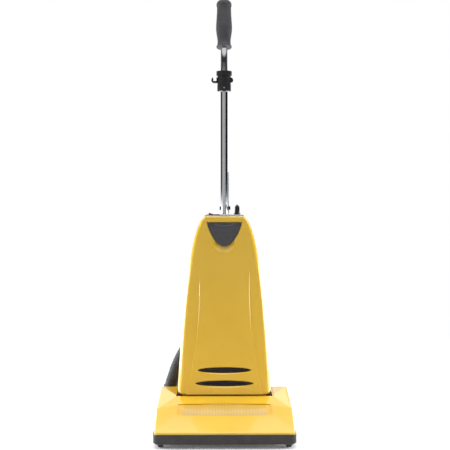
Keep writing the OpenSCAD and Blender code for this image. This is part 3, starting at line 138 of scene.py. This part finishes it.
lights = {
    # name: place, width and height in metres, radiance, point it faces
    "top_softbox": ((0.0, -0.2, 2.8), (2.6, 2.2), 1.1, (0, 0.1, 0)),
    "top_diffuser": ((0.0, -0.2, 2.79), (2.6, 2.2), 1.1, (0, 0.1, 0)),
    "left_softbox": ((-1.1, 0.25, 0.29), (1.2, 0.5), 7.5, (0, 0, 0.29)),
    "right_softbox": ((1.1, 0.25, 0.29), (1.2, 0.5), 7.5, (0, 0, 0.29)),
}
for name, (where, size, radiance, aim) in lights.items():
    lightData = bpy.data.lights.new(name, "AREA")
    lightData.shape = "RECTANGLE"
    lightData.size, lightData.size_y = size
    lightData.energy = radiance * math.pi * size[0] * size[1]
    lightObject = bpy.data.objects.new(name, lightData)
    lightObject.location = where
    lightObject.rotation_euler = (Vector(aim) - Vector(where)).to_track_quat("-Z", "Y").to_euler()
    lightObject.visible_camera = False
    # the diffuser lights the machine and leaves no reflection of its own
    lightObject.visible_glossy = name != "top_diffuser"
    scene.collection.objects.link(lightObject)

# what the gloss sees round the machine
room = {
    # brightness by the angle round from the camera's side, in degrees
    "low": ((-180, 1.0), (-62, 1.0), (-46, 0.2), (46, 0.2), (62, 1.0), (180, 1.0)),
    "middle": ((-180, 0.3), (-140, 0.2), (-124, 0.06), (-66, 0.06), (-56, 0.6), (0, 0.55), (46, 0.4),
               (54, 0.01), (150, 0.01), (180, 0.1)),
    "high": ((-180, 0.9), (-130, 0.9), (-112, 0.05), (112, 0.05), (130, 0.9), (180, 0.9)),
    "ceiling": 0.92,
    # heights between which one part gives way to the next, as the sine of the angle above level
    "floorEnds": (-0.02, 0.0),
    "panelEnds": (0.136, 0.15),
    "ceilingStarts": (0.35, 0.5),
    "floorGloss": 1.4,  # how much stronger the pale floor shows in the gloss than it lights
}


def roomRamp(tree, angle, stops):
    # grey by the angle round the machine
    turn = addNode(tree, "MapRange", {"Value": angle, "From Min": -math.pi, "From Max": math.pi})
    node = addNode(tree, "ValToRGB", {"Fac": turn})
    ramp = node.color_ramp
    while len(ramp.elements) < len(stops):
        ramp.elements.new(0.5)
    for element, (degrees, grey) in zip(ramp.elements, stops):
        element.position = degrees / 360 + 0.5
        element.color = (grey, grey, grey, 1)
    return node.outputs["Color"]


def studioWorld():
    # a pale floor round the sides, dark flats and a panel behind the camera above it, a ceiling over all
    world = bpy.data.worlds.new("studio")
    world.use_nodes = True
    tree = world.node_tree
    way = addNode(tree, "TexCoord").outputs["Generated"]
    x, y, z = addNode(tree, "SeparateXYZ", {0: way}).outputs
    front = addNode(tree, "Math", {0: y, 1: -1.0}, operation="MULTIPLY")
    angle = addNode(tree, "Math", {0: x, 1: front}, operation="ARCTAN2")
    low, middle, high = (roomRamp(tree, angle, room[part]) for part in ("low", "middle", "high"))
    upper = fadeBetween(tree, z, room["panelEnds"], middle, high)
    walls = fadeBetween(tree, z, room["floorEnds"], low, upper)
    colour = fadeBetween(tree, z, room["ceilingStarts"], walls, (room["ceiling"],) * 3 + (1,))
    rays = addNode(tree, "LightPath").outputs
    # the camera itself sees plain white
    seen = addNode(tree, "Mix", {0: rays["Is Camera Ray"], 6: colour, 7: (1, 1, 1, 1)}, data_type="RGBA")
    floorLow, floorHigh = room["floorEnds"]
    below = addNode(tree, "MapRange", {"Value": z, "From Min": floorLow, "From Max": floorHigh,
                                       "To Min": room["floorGloss"], "To Max": 0})
    extra = addNode(tree, "Math", {0: rays["Is Glossy Ray"], 1: below}, operation="MULTIPLY")
    strength = addNode(tree, "Math", {0: extra, 1: 1.0}, operation="ADD")
    fillInputs(tree, tree.nodes["Background"], {"Color": seen.outputs[2], "Strength": strength})
    return world


scene.world = studioWorld()
scene.view_settings.view_transform = "Standard"
print("camera and lights set")


def blankMaterial(name):
    material = bpy.data.materials.new(name)
    material.use_nodes = True
    tree = material.node_tree
    shader = tree.nodes["Principled BSDF"]
    where = addNode(tree, "TexCoord").outputs["Object"]
    return material, tree, shader, where


def polishedAbs(name, colour, deep, roughness, edge=0.25, coat=0.35):
    # ABS from a polished tool: an even gloss over a faint orange peel, edges rubbed a little paler
    material, tree, shader, where = blankMaterial(name)
    cloud = addNode(tree, "TexNoise", {"Vector": where, "Scale": perMetre(90), "Detail": 3})
    peel = addNode(tree, "TexNoise", {"Vector": where, "Scale": perMetre(3.5)})
    scuff = addNode(tree, "TexNoise", {"Vector": where, "Scale": perMetre(14), "Detail": 4, "Roughness": 0.7})
    rub = addNode(tree, "NewGeometry").outputs["Pointiness"]
    tint = fadeBetween(tree, cloud, (0.35, 0.65), toLinear(colour), toLinear(deep))
    rubbed = toLinear(colour, gain=1.3, lift=0.03)
    fillInputs(tree, shader, {
        "Base Color": fadeBetween(tree, rub, (0.52, 0.62), tint, rubbed, most=edge),
        "Roughness": addNode(tree, "MapRange", {"Value": scuff, "From Min": 0.3, "From Max": 0.8,
                                                "To Min": roughness * 0.85, "To Max": roughness * 1.35}),
        "Normal": addNode(tree, "Bump", {"Height": peel, "Strength": 0.06, "Distance": 0.25 * mm}),
        "IOR": 1.53, "Coat Weight": coat, "Coat Roughness": 0.06})
    return material


def grainedAbs(name, colour, grainMm, roughness, depth=0.3):
    # ABS from an etched tool: a fine leather grain that breaks the highlight up, with dust in it
    material, tree, shader, where = blankMaterial(name)
    grain = addNode(tree, "TexVoronoi", {"Vector": where, "Scale": perMetre(grainMm)}, feature="SMOOTH_F1")
    dust = addNode(tree, "TexNoise", {"Vector": where, "Scale": perMetre(40), "Detail": 5, "Roughness": 0.65})
    dusty = toLinear(colour, gain=1.5, lift=0.012)
    fillInputs(tree, shader, {
        "Base Color": fadeBetween(tree, dust, (0.4, 0.75), toLinear(colour), dusty, most=0.55),
        "Roughness": addNode(tree, "MapRange", {"Value": dust, "From Min": 0.3, "From Max": 0.7,
                                                "To Min": roughness, "To Max": roughness + 0.15}),
        "Normal": addNode(tree, "Bump", {"Height": grain, "Strength": depth, "Distance": 0.12 * mm}),
        "IOR": 1.5})
    return material


def mouldedRubber(name, colour, roughness, stippleMm=1.2):
    # moulded rubber: dull, with a bloom that lifts the black where it is handled
    material, tree, shader, where = blankMaterial(name)
    bloom = addNode(tree, "TexNoise", {"Vector": where, "Scale": perMetre(25), "Detail": 4, "Roughness": 0.6})
    stipple = addNode(tree, "TexNoise", {"Vector": where, "Scale": perMetre(stippleMm), "Detail": 3})
    fillInputs(tree, shader, {
        "Base Color": fadeBetween(tree, bloom, (0.35, 0.7), toLinear(colour), toLinear(colour, lift=0.02)),
        "Roughness": addNode(tree, "MapRange", {"Value": bloom, "From Min": 0.3, "From Max": 0.7,
                                                "To Min": roughness, "To Max": min(1, roughness + 0.12)}),
        "Normal": addNode(tree, "Bump", {"Height": stipple, "Strength": 0.25, "Distance": 0.1 * mm}),
        "IOR": 1.52})
    return material


def platedSteel(name, colour, roughness, streakMm=0):
    # plated or drawn metal: mirror-like where polished, with draw lines along the piece where not
    material, tree, shader, where = blankMaterial(name)
    smear = addNode(tree, "TexNoise", {"Vector": where, "Scale": perMetre(30), "Detail": 4, "Roughness": 0.6})
    fillInputs(tree, shader, {
        "Base Color": fadeBetween(tree, smear, (0.4, 0.7), toLinear(colour), toLinear(colour, gain=0.86)),
        "Roughness": addNode(tree, "MapRange", {"Value": smear, "From Min": 0.3, "From Max": 0.75,
                                                "To Min": roughness, "To Max": roughness * 1.6}),
        "Metallic": 1.0})
    if streakMm:
        stretch = addNode(tree, "Mapping", {"Vector": where, "Scale": (1, 1, 0.04)})
        line = addNode(tree, "TexNoise", {"Vector": stretch, "Scale": perMetre(streakMm)})
        bump = addNode(tree, "Bump", {"Height": line, "Strength": 0.15, "Distance": 0.05 * mm})
        fillInputs(tree, shader, {"Normal": bump})
    return material


def frostedLens():
    # translucent cream acrylic: light soaks in and its inner flutes, 26 mm apart, show faintly
    material, tree, shader, where = blankMaterial("acrylic_lens")
    flute = addNode(tree, "TexWave", {"Vector": where, "Scale": perMetre(26), "Distortion": 0.0},
                    wave_type="BANDS", bands_direction="X").outputs["Fac"]
    milk = addNode(tree, "TexNoise", {"Vector": where, "Scale": perMetre(50)})
    tone = fadeBetween(tree, milk, (0.3, 0.7), toLinear("#dcb552"), toLinear("#d6ad48"))
    fillInputs(tree, shader, {
        "Base Color": fadeBetween(tree, flute, (0, 1), tone, toLinear("#fff3cf"), most=0.07),
        "Normal": addNode(tree, "Bump", {"Height": flute, "Strength": 0.05, "Distance": 0.2 * mm}),
        "Roughness": 0.18, "IOR": 1.49, "Coat Weight": 0.6, "Coat Roughness": 0.03,
        "Subsurface Weight": 0.25, "Subsurface Scale": 0.01, "Subsurface Radius": (1.0, 0.8, 0.45)})
    return material


def fibrePaper(name, colour, deep, fibreMm=1.5):
    # pressed or felted fibre: matt, mottled, with short hairs
    material, tree, shader, where = blankMaterial(name)
    fibre = addNode(tree, "TexNoise", {"Vector": where, "Scale": perMetre(fibreMm), "Detail": 6,
                                       "Roughness": 0.7})
    blot = addNode(tree, "TexNoise", {"Vector": where, "Scale": perMetre(30), "Detail": 3})
    tone = fadeBetween(tree, blot, (0.35, 0.65), toLinear(colour), toLinear(deep))
    fillInputs(tree, shader, {
        "Base Color": fadeBetween(tree, fibre, (0.35, 0.75), tone, toLinear("#fbf4e4"), most=0.35),
        "Normal": addNode(tree, "Bump", {"Height": fibre, "Strength": 0.4, "Distance": 0.15 * mm}),
        "Roughness": 0.88, "IOR": 1.45, "Sheen Weight": 0.15})
    return material


def turnedBeech():
    # turned beech: pale, with short dark flecks along the grain
    material, tree, shader, where = blankMaterial("beech")
    along = addNode(tree, "Mapping", {"Vector": where, "Scale": (0.12, 1, 1)})
    grain = addNode(tree, "TexNoise", {"Vector": along, "Scale": perMetre(4), "Detail": 6, "Roughness": 0.6})
    fleck = addNode(tree, "TexNoise", {"Vector": along, "Scale": perMetre(1.2)})
    tone = fadeBetween(tree, grain, (0.3, 0.7), toLinear("#c79a63"), toLinear("#a87a48"))
    fillInputs(tree, shader, {
        "Base Color": fadeBetween(tree, fleck, (0.62, 0.72), tone, toLinear("#7d5530"), most=0.6),
        "Normal": addNode(tree, "Bump", {"Height": grain, "Strength": 0.15, "Distance": 0.1 * mm}),
        "Roughness": 0.5, "IOR": 1.5})
    return material


def studioPaper():
    # seamless background paper: matt, almost white, and lit a little from within
    material, tree, shader, where = blankMaterial("studio_paper")
    cloud = addNode(tree, "TexNoise", {"Vector": where, "Scale": perMetre(400)})
    fillInputs(tree, shader, {
        "Base Color": fadeBetween(tree, cloud, (0, 1), toLinear("#f4f4f4"), toLinear("#fafafa")),
        "Roughness": 0.9, "Emission Strength": 0.07, "Emission Color": (1, 1, 1, 1)})
    return material


finishes = {
    "yellow_plastic": polishedAbs("yellow_abs", "#efc233", "#ecbd2c", roughness=0.2, edge=0.25, coat=0.9),
    "dark_plastic": grainedAbs("charcoal_abs", "#2c292b", grainMm=1.4, roughness=0.5),
    "bumper_vinyl": mouldedRubber("vinyl_bumper", "#211a1a", roughness=0.45, stippleMm=1.6),
    "lens_plastic": frostedLens(),
    "white_plastic": grainedAbs("white_abs", "#e4e4df", grainMm=1.4, roughness=0.45, depth=0.1),
    "zinc_steel": platedSteel("zinc_plated_steel", "#b9bcc2", roughness=0.28),
    "spring_steel": platedSteel("spring_wire", "#8e9094", roughness=0.3),
    "belt_rubber": mouldedRubber("neoprene", "#17171a", roughness=0.6),
    "brush_wood": turnedBeech(),
    "bristle_nylon": mouldedRubber("nylon_bristle", "#151517", roughness=0.4, stippleMm=0.8),
    "tyre_rubber": mouldedRubber("grey_tyre_rubber", "#262628", roughness=0.62),
    "iron_core": platedSteel("lamination_steel", "#6d7075", roughness=0.4, streakMm=0.6),
    "carbon": platedSteel("brass", "#b58c42", roughness=0.3),  # the carbons are held in brass boxes
    "fan_aluminium": platedSteel("pressed_aluminium", "#cfd1d4", roughness=0.32, streakMm=0.8),
    "foam": fibrePaper("open_cell_foam", "#3c4046", "#2f3338", fibreMm=1.2),
    "bag_paper": fibrePaper("bag_paper", "#d3c1a0", "#c8b490", fibreMm=1.8),
    "bag_card": fibrePaper("grey_board", "#a98c62", "#98794f", fibreMm=1.2),
    "filter_paper": fibrePaper("filter_web", "#ecebe4", "#e2e0d6", fibreMm=1.0),
    "grey_plastic": grainedAbs("light_grey_abs", "#b9bbbd", grainMm=1.2, roughness=0.4, depth=0.12),
    "black_plastic": polishedAbs("black_abs", "#141418", "#19191d", roughness=0.3, edge=0.05, coat=0.0),
    "red_plastic": polishedAbs("red_abs", "#8f1714", "#7d120f", roughness=0.18, edge=0.05),
    "chrome_tube": platedSteel("chromed_steel", "#d4d6da", roughness=0.05),
    "grip_rubber": mouldedRubber("grip_rubber", "#343438", roughness=0.55, stippleMm=0.9),
    "hose_plastic": mouldedRubber("hose_vinyl", "#17171a", roughness=0.36, stippleMm=2.5),
    "latch_plastic": polishedAbs("slate_abs", "#454549", "#414145", roughness=0.3, edge=0.05, coat=0.4),
    "gasket_foam": mouldedRubber("closed_cell_foam", "#26262a", roughness=0.8),
}
for entry in frame["record"]["subparts"]:
    piece = nodes[entry["node"]]
    piece.data.materials.clear()
    piece.data.materials.append(finishes[entry["material_slot"]])
# painted shade: the clamps behind the body get a darker zinc than their slot gives, for the shade they sit
# in, and a duller one
nodes["pivot_clamps"].data.materials[0] = platedSteel("zinc_painted_shade", "#4b4c50", roughness=0.5)
floor.data.materials.append(studioPaper())
print("materials made:", len(finishes))

# moulded shells: the steepest edge in degrees that is still shaded round, and the narrowest
# panel in millimetres that keeps a crease at its edge
shells = {
    "bag_door": (32, 12), "rear_housing": (32, 12), "hood": (28, 7), "release_pedal": (28, 7),
    "bumper": (28, 14), "hose_port": (32, 30), "latch": (30, 12), "motor_pod": (25, 40),
}
nearlyLevel = 3  # two broad panels have no crease between them up to this many degrees


def shadeRound(mesh, steepest, panel):
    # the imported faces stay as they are: only the normal at each corner is weighed by the faces
    # that run into it over soft edges
    spots = [tuple(round(c, 6) for c in vertex.co) for vertex in mesh.vertices]
    faces = list(mesh.polygons)
    outlines = [[spots[v] for v in face.vertices] for face in faces]
    broad = []
    sharing = {}
    for number, (face, outline) in enumerate(zip(faces, outlines)):
        sides = list(zip(outline, outline[1:] + outline[:1]))
        longest = max(math.dist(a, b) for a, b in sides)
        # a triangle's width is twice its area over its longest side
        broad.append(2 * face.area * 1000 > panel * longest)
        for side in sides:
            sharing.setdefault(frozenset(side), []).append(number)
    beside = {}
    for side, numbers in sharing.items():
        if len(side) != 2 or len(numbers) != 2:
            continue
        first, second = numbers
        angle = math.degrees(faces[first].normal.angle(faces[second].normal, math.pi))
        if angle < steepest and not (broad[first] and broad[second] and angle > nearlyLevel):
            for spot in side:
                beside.setdefault((first, spot), []).append(second)
                beside.setdefault((second, spot), []).append(first)
    normals = []
    for number, (face, outline) in enumerate(zip(faces, outlines)):
        for spot in outline:
            fan = {number}
            waiting = [number]
            while waiting:
                for other in beside.get((waiting.pop(), spot), ()):
                    if other not in fan:
                        fan.add(other)
                        waiting.append(other)
            total = sum((faces[n].normal * faces[n].area for n in fan), Vector((0, 0, 0)))
            normals.append(total.normalized() if total.length > 0 else face.normal.copy())
    mesh.polygons.foreach_set("use_smooth", [True] * len(faces))
    mesh.normals_split_custom_set(normals)


for name, (steepest, panel) in shells.items():
    shadeRound(nodes[name].data, steepest, panel)
print("shells shaded:", len(shells))


def meshObject(name, vertices, faces, material, smooth=True):
    mesh = bpy.data.meshes.new(name)
    mesh.from_pydata([tuple(v) for v in vertices], [], faces)
    mesh.update()
    if smooth:
        mesh.shade_smooth()
    piece = bpy.data.objects.new(name, mesh)
    mesh.materials.append(material)
    scene.collection.objects.link(piece)
    return piece


def gridFaces(rows, columns, closed=True, first=0):
    # quads between rings of equal count
    span = columns if closed else columns - 1
    return [(first + r * columns + c, first + r * columns + (c + 1) % columns,
             first + (r + 1) * columns + (c + 1) % columns, first + (r + 1) * columns + c)
            for r in range(rows - 1) for c in range(span)]


def signedPower(value, power):
    return math.copysign(abs(value) ** power, value)


def betweenKeys(keys, at):
    # the values between the keys, each key being its place and then its values
    for low, high in zip(keys, keys[1:]):
        if at <= high[0]:
            share = (at - low[0]) / (high[0] - low[0])
            return [a + (b - a) * share for a, b in zip(low[1:], high[1:])]
    return list(keys[-1][1:])


# millimetres, and leans in degrees from upright
hose = {
    "start": (-156.5, 88), "depth": 331, "across": 42, "wall": 4,
    "turns": (18, 30, 50),  # lean at the port, at the ring and at its steepest
    "arcs": (300, 200, 170),  # radius from port to ring, past the ring, and up to the inlet
    "slope": 40,  # the straight length at its steepest
    "endCut": 6,  # its last straight length is this much shorter than the hose is wide
    "ribPitch": 6, "ribDepth": 1.7, "ribFade": 8, "ribPower": 0.6, "sides": 40, "stepsPerRib": 8,
    # two points along the lower length
    "bendFrom": (-143, 331, 96), "bendTo": (-97, 331, 222),
}


def arcLength(radius, first, last):
    return radius * math.radians(abs(last - first))


def hoseRuns():
    # each run: its length and its lean at its end
    first, second, third = hose["turns"]
    across = hose["across"]
    return [(across, first), (arcLength(hose["arcs"][0], first, second), second), (across, second),
            (across, second), (arcLength(hose["arcs"][1], second, third), third), (hose["slope"], third),
            (arcLength(hose["arcs"][2], third, 0), 0), (across - hose["endCut"], 0)]


def runEnd(point, run, along):
    # where a run has come to after some of its length: straight, or round an arc
    x, z, lean = point
    length, last = run
    start = math.radians(lean)
    if last == lean:
        return (x + along * math.sin(start), z + along * math.cos(start), lean)
    now = lean + (last - lean) * along / length
    end = math.radians(now)
    radius = length / math.radians(last - lean)
    return (x + radius * (math.cos(start) - math.cos(end)),
            z + radius * (math.sin(end) - math.sin(start)), now)


def hosePoint(along, firstRun, lastRun):
    point = hose["start"] + (hose["turns"][0],)
    for index, run in enumerate(hoseRuns()):
        if index < firstRun:
            point = runEnd(point, run, run[0])
        elif along <= run[0] or index == lastRun:
            return runEnd(point, run, min(along, run[0]))
        else:
            along -= run[0]
            point = runEnd(point, run, run[0])


def ribbedHose(name, node, firstRun, lastRun):
    length = sum(run[0] for run in hoseRuns()[firstRun:lastRun + 1])
    ribs = round(length / hose["ribPitch"])
    rings, sides = ribs * hose["stepsPerRib"], hose["sides"]
    turns = [2 * math.pi * side / sides for side in range(sides)]
    outer = hose["across"] / 2
    vertices = []

    def addRing(along, radii):
        # a ring square to the hose
        x, z, lean = hosePoint(along, firstRun, lastRun)
        tilt = math.radians(lean)
        for turn, radius in zip(turns, radii):
            u, v = radius * math.cos(turn), radius * math.sin(turn)
            vertices.append(place(x + u * math.cos(tilt), hose["depth"] + v, z - u * math.sin(tilt)))

    for ring in range(rings + 1):
        along = length * ring / rings
        # the rib is a helix: it moves on by one pitch per turn, and dies out at the ends
        fade = min(1, along / hose["ribFade"], (length - along) / hose["ribFade"])
        phases = [math.cos(2 * math.pi * (along / (length / ribs)) - turn) for turn in turns]
        waves = [0.5 * (1 + signedPower(phase, hose["ribPower"])) for phase in phases]
        addRing(along, [outer - hose["ribDepth"] * (1 - wave * fade) for wave in waves])
    faces = gridFaces(rings + 1, sides)
    # the wall's cut face at each end
    for along, edge in ((0, 0), (length, rings * sides)):
        base = len(vertices)
        addRing(along, [outer - hose["wall"]] * sides)
        for side in range(sides):
            after = (side + 1) % sides
            loop = (edge + side, base + side, base + after, edge + after)
            faces.append(loop if edge == 0 else loop[::-1])
    tube = meshObject(name, vertices, faces, finishes["hose_plastic"])
    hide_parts(node)
    return tube


lowerHose = ribbedHose("hose_lower_ribs", "hose_lower", 0, 2)
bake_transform(lowerHose)
upperHose = ribbedHose("hose_upper_ribs", "hose_upper", 3, 7)
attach(upperHose, "upright")
print("hose ribbed")

# millimetres
bag = {
    "sections": (
        # height, then the left and right and the front and back of the bag there
        (252, -56, 38, 216, 279), (262, -58, 40, 215, 280), (280, -68, 49, 211, 266),
        (298, -78, 58, 207, 252), (384, -78, 58, 207, 252), (470, -77, 58, 207, 252),
        (500, -64, 60, 209, 249), (522, -58, 60, 214, 244), (536, -56, 60, 224, 233),
        (545, -56, 60, 226, 230),
    ),
    "sides": 96, "rings": 110, "squareness": 5, "inset": 1.2,
    # a gusset's depth, where it starts across the width, how fast it closes, and its share at the foot
    "gusset": 7, "gussetFrom": 0.85, "gussetNarrows": 1.3, "gussetAtFoot": 0.35,
    # depth and spacing of the creases, how much finer and fainter the second ones are, and the half
    # depth of bag below which they are drawn in no further
    "crumple": 1.6, "creaseAcross": 22, "creaseUp": 34, "finer": 2.3, "fainter": 0.5, "thin": 12,
    "port": (0.030, 0.034),  # metres from the collar's lowest corner to the middle of its hole
    "neckSides": 32,
    # depth and radius of the paper neck behind the card collar
    "neck": ((243, 13.0), (250, 12.6), (256, 13.2), (260, 13.4), (260, 12.0), (243, 11.6)),
}


def roundedPoint(turn, halfX, halfY, squareness):
    # a point of a rounded rectangle, by angle, as a superellipse
    power = 2 / squareness
    return halfX * signedPower(math.cos(turn), power), halfY * signedPower(math.sin(turn), power)


def paperBag():
    vertices = []
    sections = bag["sections"]
    rings, sides = bag["rings"] + 1, bag["sides"]
    bottom, top = sections[0][0], sections[-1][0]
    for ring in range(rings):
        z = bottom + (top - bottom) * ring / bag["rings"]
        left, right, front, back = betweenKeys(sections, z)
        halfX, halfY = (right - left) / 2 - bag["inset"], (back - front) / 2 - bag["inset"] / 2
        # the gussets open towards the filled foot
        folded = bag["gussetAtFoot"] + (1 - bag["gussetAtFoot"]) * (z - bottom) / (top - bottom)
        for side in range(sides):
            turn = 2 * math.pi * side / sides
            u, v = roundedPoint(turn, halfX, halfY, bag["squareness"])
            # a folded gusset down each narrow side
            fold = max(0, 1 - abs(v) / max(halfY, 1) * bag["gussetNarrows"]) * folded
            edge = max(0, abs(u) / halfX - bag["gussetFrom"]) / (1 - bag["gussetFrom"])
            u -= math.copysign(bag["gusset"] * fold * edge, u)
            where = Vector((u / bag["creaseAcross"], v / bag["creaseAcross"], z / bag["creaseUp"]))
            crease = abs(noise.noise(where)) + bag["fainter"] * abs(noise.noise(where * bag["finer"]))
            pull = 1 - bag["crumple"] * crease / max(halfY, bag["thin"])
            vertices.append(place((left + right) / 2 + u * pull, (front + back) / 2 + v * pull, z))
    faces = gridFaces(rings, sides)
    faces.append(tuple(range(sides))[::-1])
    faces.append(tuple(range((rings - 1) * sides, rings * sides)))
    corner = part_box("bag_collar")[0]
    x, z = ((corner[0] + bag["port"][0]) * 1000, (corner[2] + bag["port"][1]) * 1000)
    first = len(vertices)
    for depth, radius in bag["neck"]:
        for side in range(bag["neckSides"]):
            turn = 2 * math.pi * side / bag["neckSides"]
            vertices.append(place(x + radius * math.cos(turn), depth, z + radius * math.sin(turn)))
    faces += gridFaces(len(bag["neck"]), bag["neckSides"], first=first)
    return meshObject("filter_bag_paper", vertices, faces, finishes["bag_paper"])


paper = paperBag()
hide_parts("filter_bag")
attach(paper, "upright")

# millimetres, and degrees for the turn of the tufts' spiral along the brush
brush = {
    "depth": 58, "height": 29.5, "core": 17, "tip": 28, "rooted": 3, "uneven": 0.8,
    "tufts": 20, "from": -142, "to": 125, "spiral": 300,
    "perTuft": 30, "tuftRadius": 2.3, "splay": 1.5, "middle": 23,
    "radii": (0.28, 0.26, 0.14),  # of a filament at its root, middle and tip
    "cornerTurn": 2.1,  # radians from one corner of a filament to the next
    "seed": 7,
}


def brushBristles():
    # two spirals of tufts, each of many tapering three-sided filaments
    rng = random.Random(brush["seed"])
    vertices, faces = [], []
    for row in (0, 1):
        for tuft in range(brush["tufts"]):
            x = brush["from"] + (brush["to"] - brush["from"]) * tuft / (brush["tufts"] - 1)
            lean = Matrix.Rotation(math.radians(row * 180 + brush["spiral"] * tuft / brush["tufts"]), 3, "X")
            for _ in range(brush["perTuft"]):
                turn, far = rng.uniform(0, 2 * math.pi), math.sqrt(rng.random())
                across = Vector((math.cos(turn), math.sin(turn), 0)) * far
                rises = (brush["core"] - brush["rooted"], brush["middle"],
                         brush["tip"] - rng.uniform(0, brush["uneven"]))
                base = len(vertices)
                for step, (rise, radius) in enumerate(zip(rises, brush["radii"])):
                    out = across * (brush["tuftRadius"] + brush["splay"] * (step / 2) ** 2)
                    for corner in range(3):
                        angle = brush["cornerTurn"] * corner
                        rim = Vector((radius * math.cos(angle), radius * math.sin(angle), rise))
                        point = lean @ (out + rim)
                        vertices.append(place(x + point.x, brush["depth"] + point.y,
                                              brush["height"] + point.z))
                faces += gridFaces(3, 3, first=base)
                faces.append((base + 6, base + 7, base + 8))
    return meshObject("brush_filaments", vertices, faces, finishes["bristle_nylon"], smooth=False)


filaments = brushBristles()
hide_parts("brush_bristles")
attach(filaments, "brush")

# millimetres, and the share of its height that the pressed spring keeps
spring = {"x": 162.5, "depth": 232, "foot": 64, "top": 93, "radius": 5.3, "wire": 0.7,
          "turns": 9, "perTurn": 20, "sides": 8, "pressed": 0.66}


def coilSpring():
    # one wire wound round, with the end turns lying close
    turns, perTurn, sides, wire = (spring[key] for key in ("turns", "perTurn", "sides", "wire"))
    low, high = spring["foot"] + wire, spring["top"] - wire
    heights = ((0, low), (1, low + 2 * wire), (turns - 1, high - 2 * wire), (turns, high))
    vertices = []
    for ring in range(turns * perTurn + 1):
        turn = ring / perTurn
        height = betweenKeys(heights, turn)[0]
        for side in range(sides):
            about = -2 * math.pi * side / sides
            reach = spring["radius"] + wire * math.cos(about)
            vertices.append(place(spring["x"] + reach * math.cos(2 * math.pi * turn),
                                  spring["depth"] + reach * math.sin(2 * math.pi * turn),
                                  height + wire * math.sin(about)))
    last = len(vertices) - sides
    faces = gridFaces(turns * perTurn + 1, sides)
    faces += [tuple(range(sides))[::-1], tuple(range(last, last + sides))]
    return meshObject("pedal_coil", vertices, faces, finishes["spring_steel"])


coil = coilSpring()
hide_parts("pedal_spring")
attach(coil, "base")
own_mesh(coil)

# millimetres, and degrees for the lean of the frame
pleats = {
    "height": 256, "foot": 119.2, "lean": 6.5,
    "from": 226, "to": 284, "low": 6, "high": 80,
    "count": 15, "steps": 8, "shallow": -24, "deep": -8, "sharpness": 0.7, "web": 0.6,
    # the card rim: how far it stands out round the web and to both sides of it, its width and its edge
    "rim": 1, "behind": 2, "before": 1, "frame": 2, "rounded": 0.4,
}


def pleatedFilter():
    # one folded web, with a card rim round it
    vertices, faces = [], []
    turn = Matrix.Rotation(math.radians(-pleats["lean"]), 3, "Y")

    def put(x, y, z):
        point = turn @ Vector((x, 0, z))
        vertices.append(place(pleats["foot"] + point.x, y, pleats["height"] + point.z))

    steps = pleats["count"] * pleats["steps"]
    for row in (pleats["low"], pleats["high"]):
        for step in range(steps + 1):
            phase = step / pleats["steps"] * 2 * math.pi
            wave = 0.5 + 0.5 * signedPower(math.cos(phase), pleats["sharpness"])
            x = pleats["shallow"] + (pleats["deep"] - pleats["shallow"]) * wave
            put(x, pleats["from"] + (pleats["to"] - pleats["from"]) * step / steps, row)
    faces += gridFaces(2, steps + 1, closed=False)
    web = meshObject("exhaust_filter_web", vertices, faces, finishes["filter_paper"])
    thick = web.modifiers.new("web", "SOLIDIFY")
    thick.thickness = pleats["web"] * mm
    vertices, faces = [], []
    for inset in (0, pleats["frame"]):
        near, far = pleats["from"] - pleats["rim"] + inset, pleats["to"] + pleats["rim"] - inset
        low, high = pleats["low"] - pleats["rim"] + inset, pleats["high"] + pleats["rim"] - inset
        for x in (pleats["shallow"] - pleats["behind"], pleats["deep"] + pleats["before"]):
            for y, z in ((near, low), (far, low), (far, high), (near, high)):
                put(x, y, z)
    for side in range(4):
        after = (side + 1) % 4
        faces += [(side, after, after + 4, side + 4), (side + 8, side + 12, after + 12, after + 8),
                  (side, side + 8, after + 8, after), (side + 4, after + 4, after + 12, side + 12)]
    rim = meshObject("exhaust_filter_rim", vertices, faces, finishes["bag_card"], smooth=False)
    soften = rim.modifiers.new("soften", "BEVEL")
    soften.width = pleats["rounded"] * mm
    return web, rim


web, rim = pleatedFilter()
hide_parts("exhaust_filter")
for piece in (web, rim):
    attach(piece, "upright")
print("bag, bristles, spring and filter made")
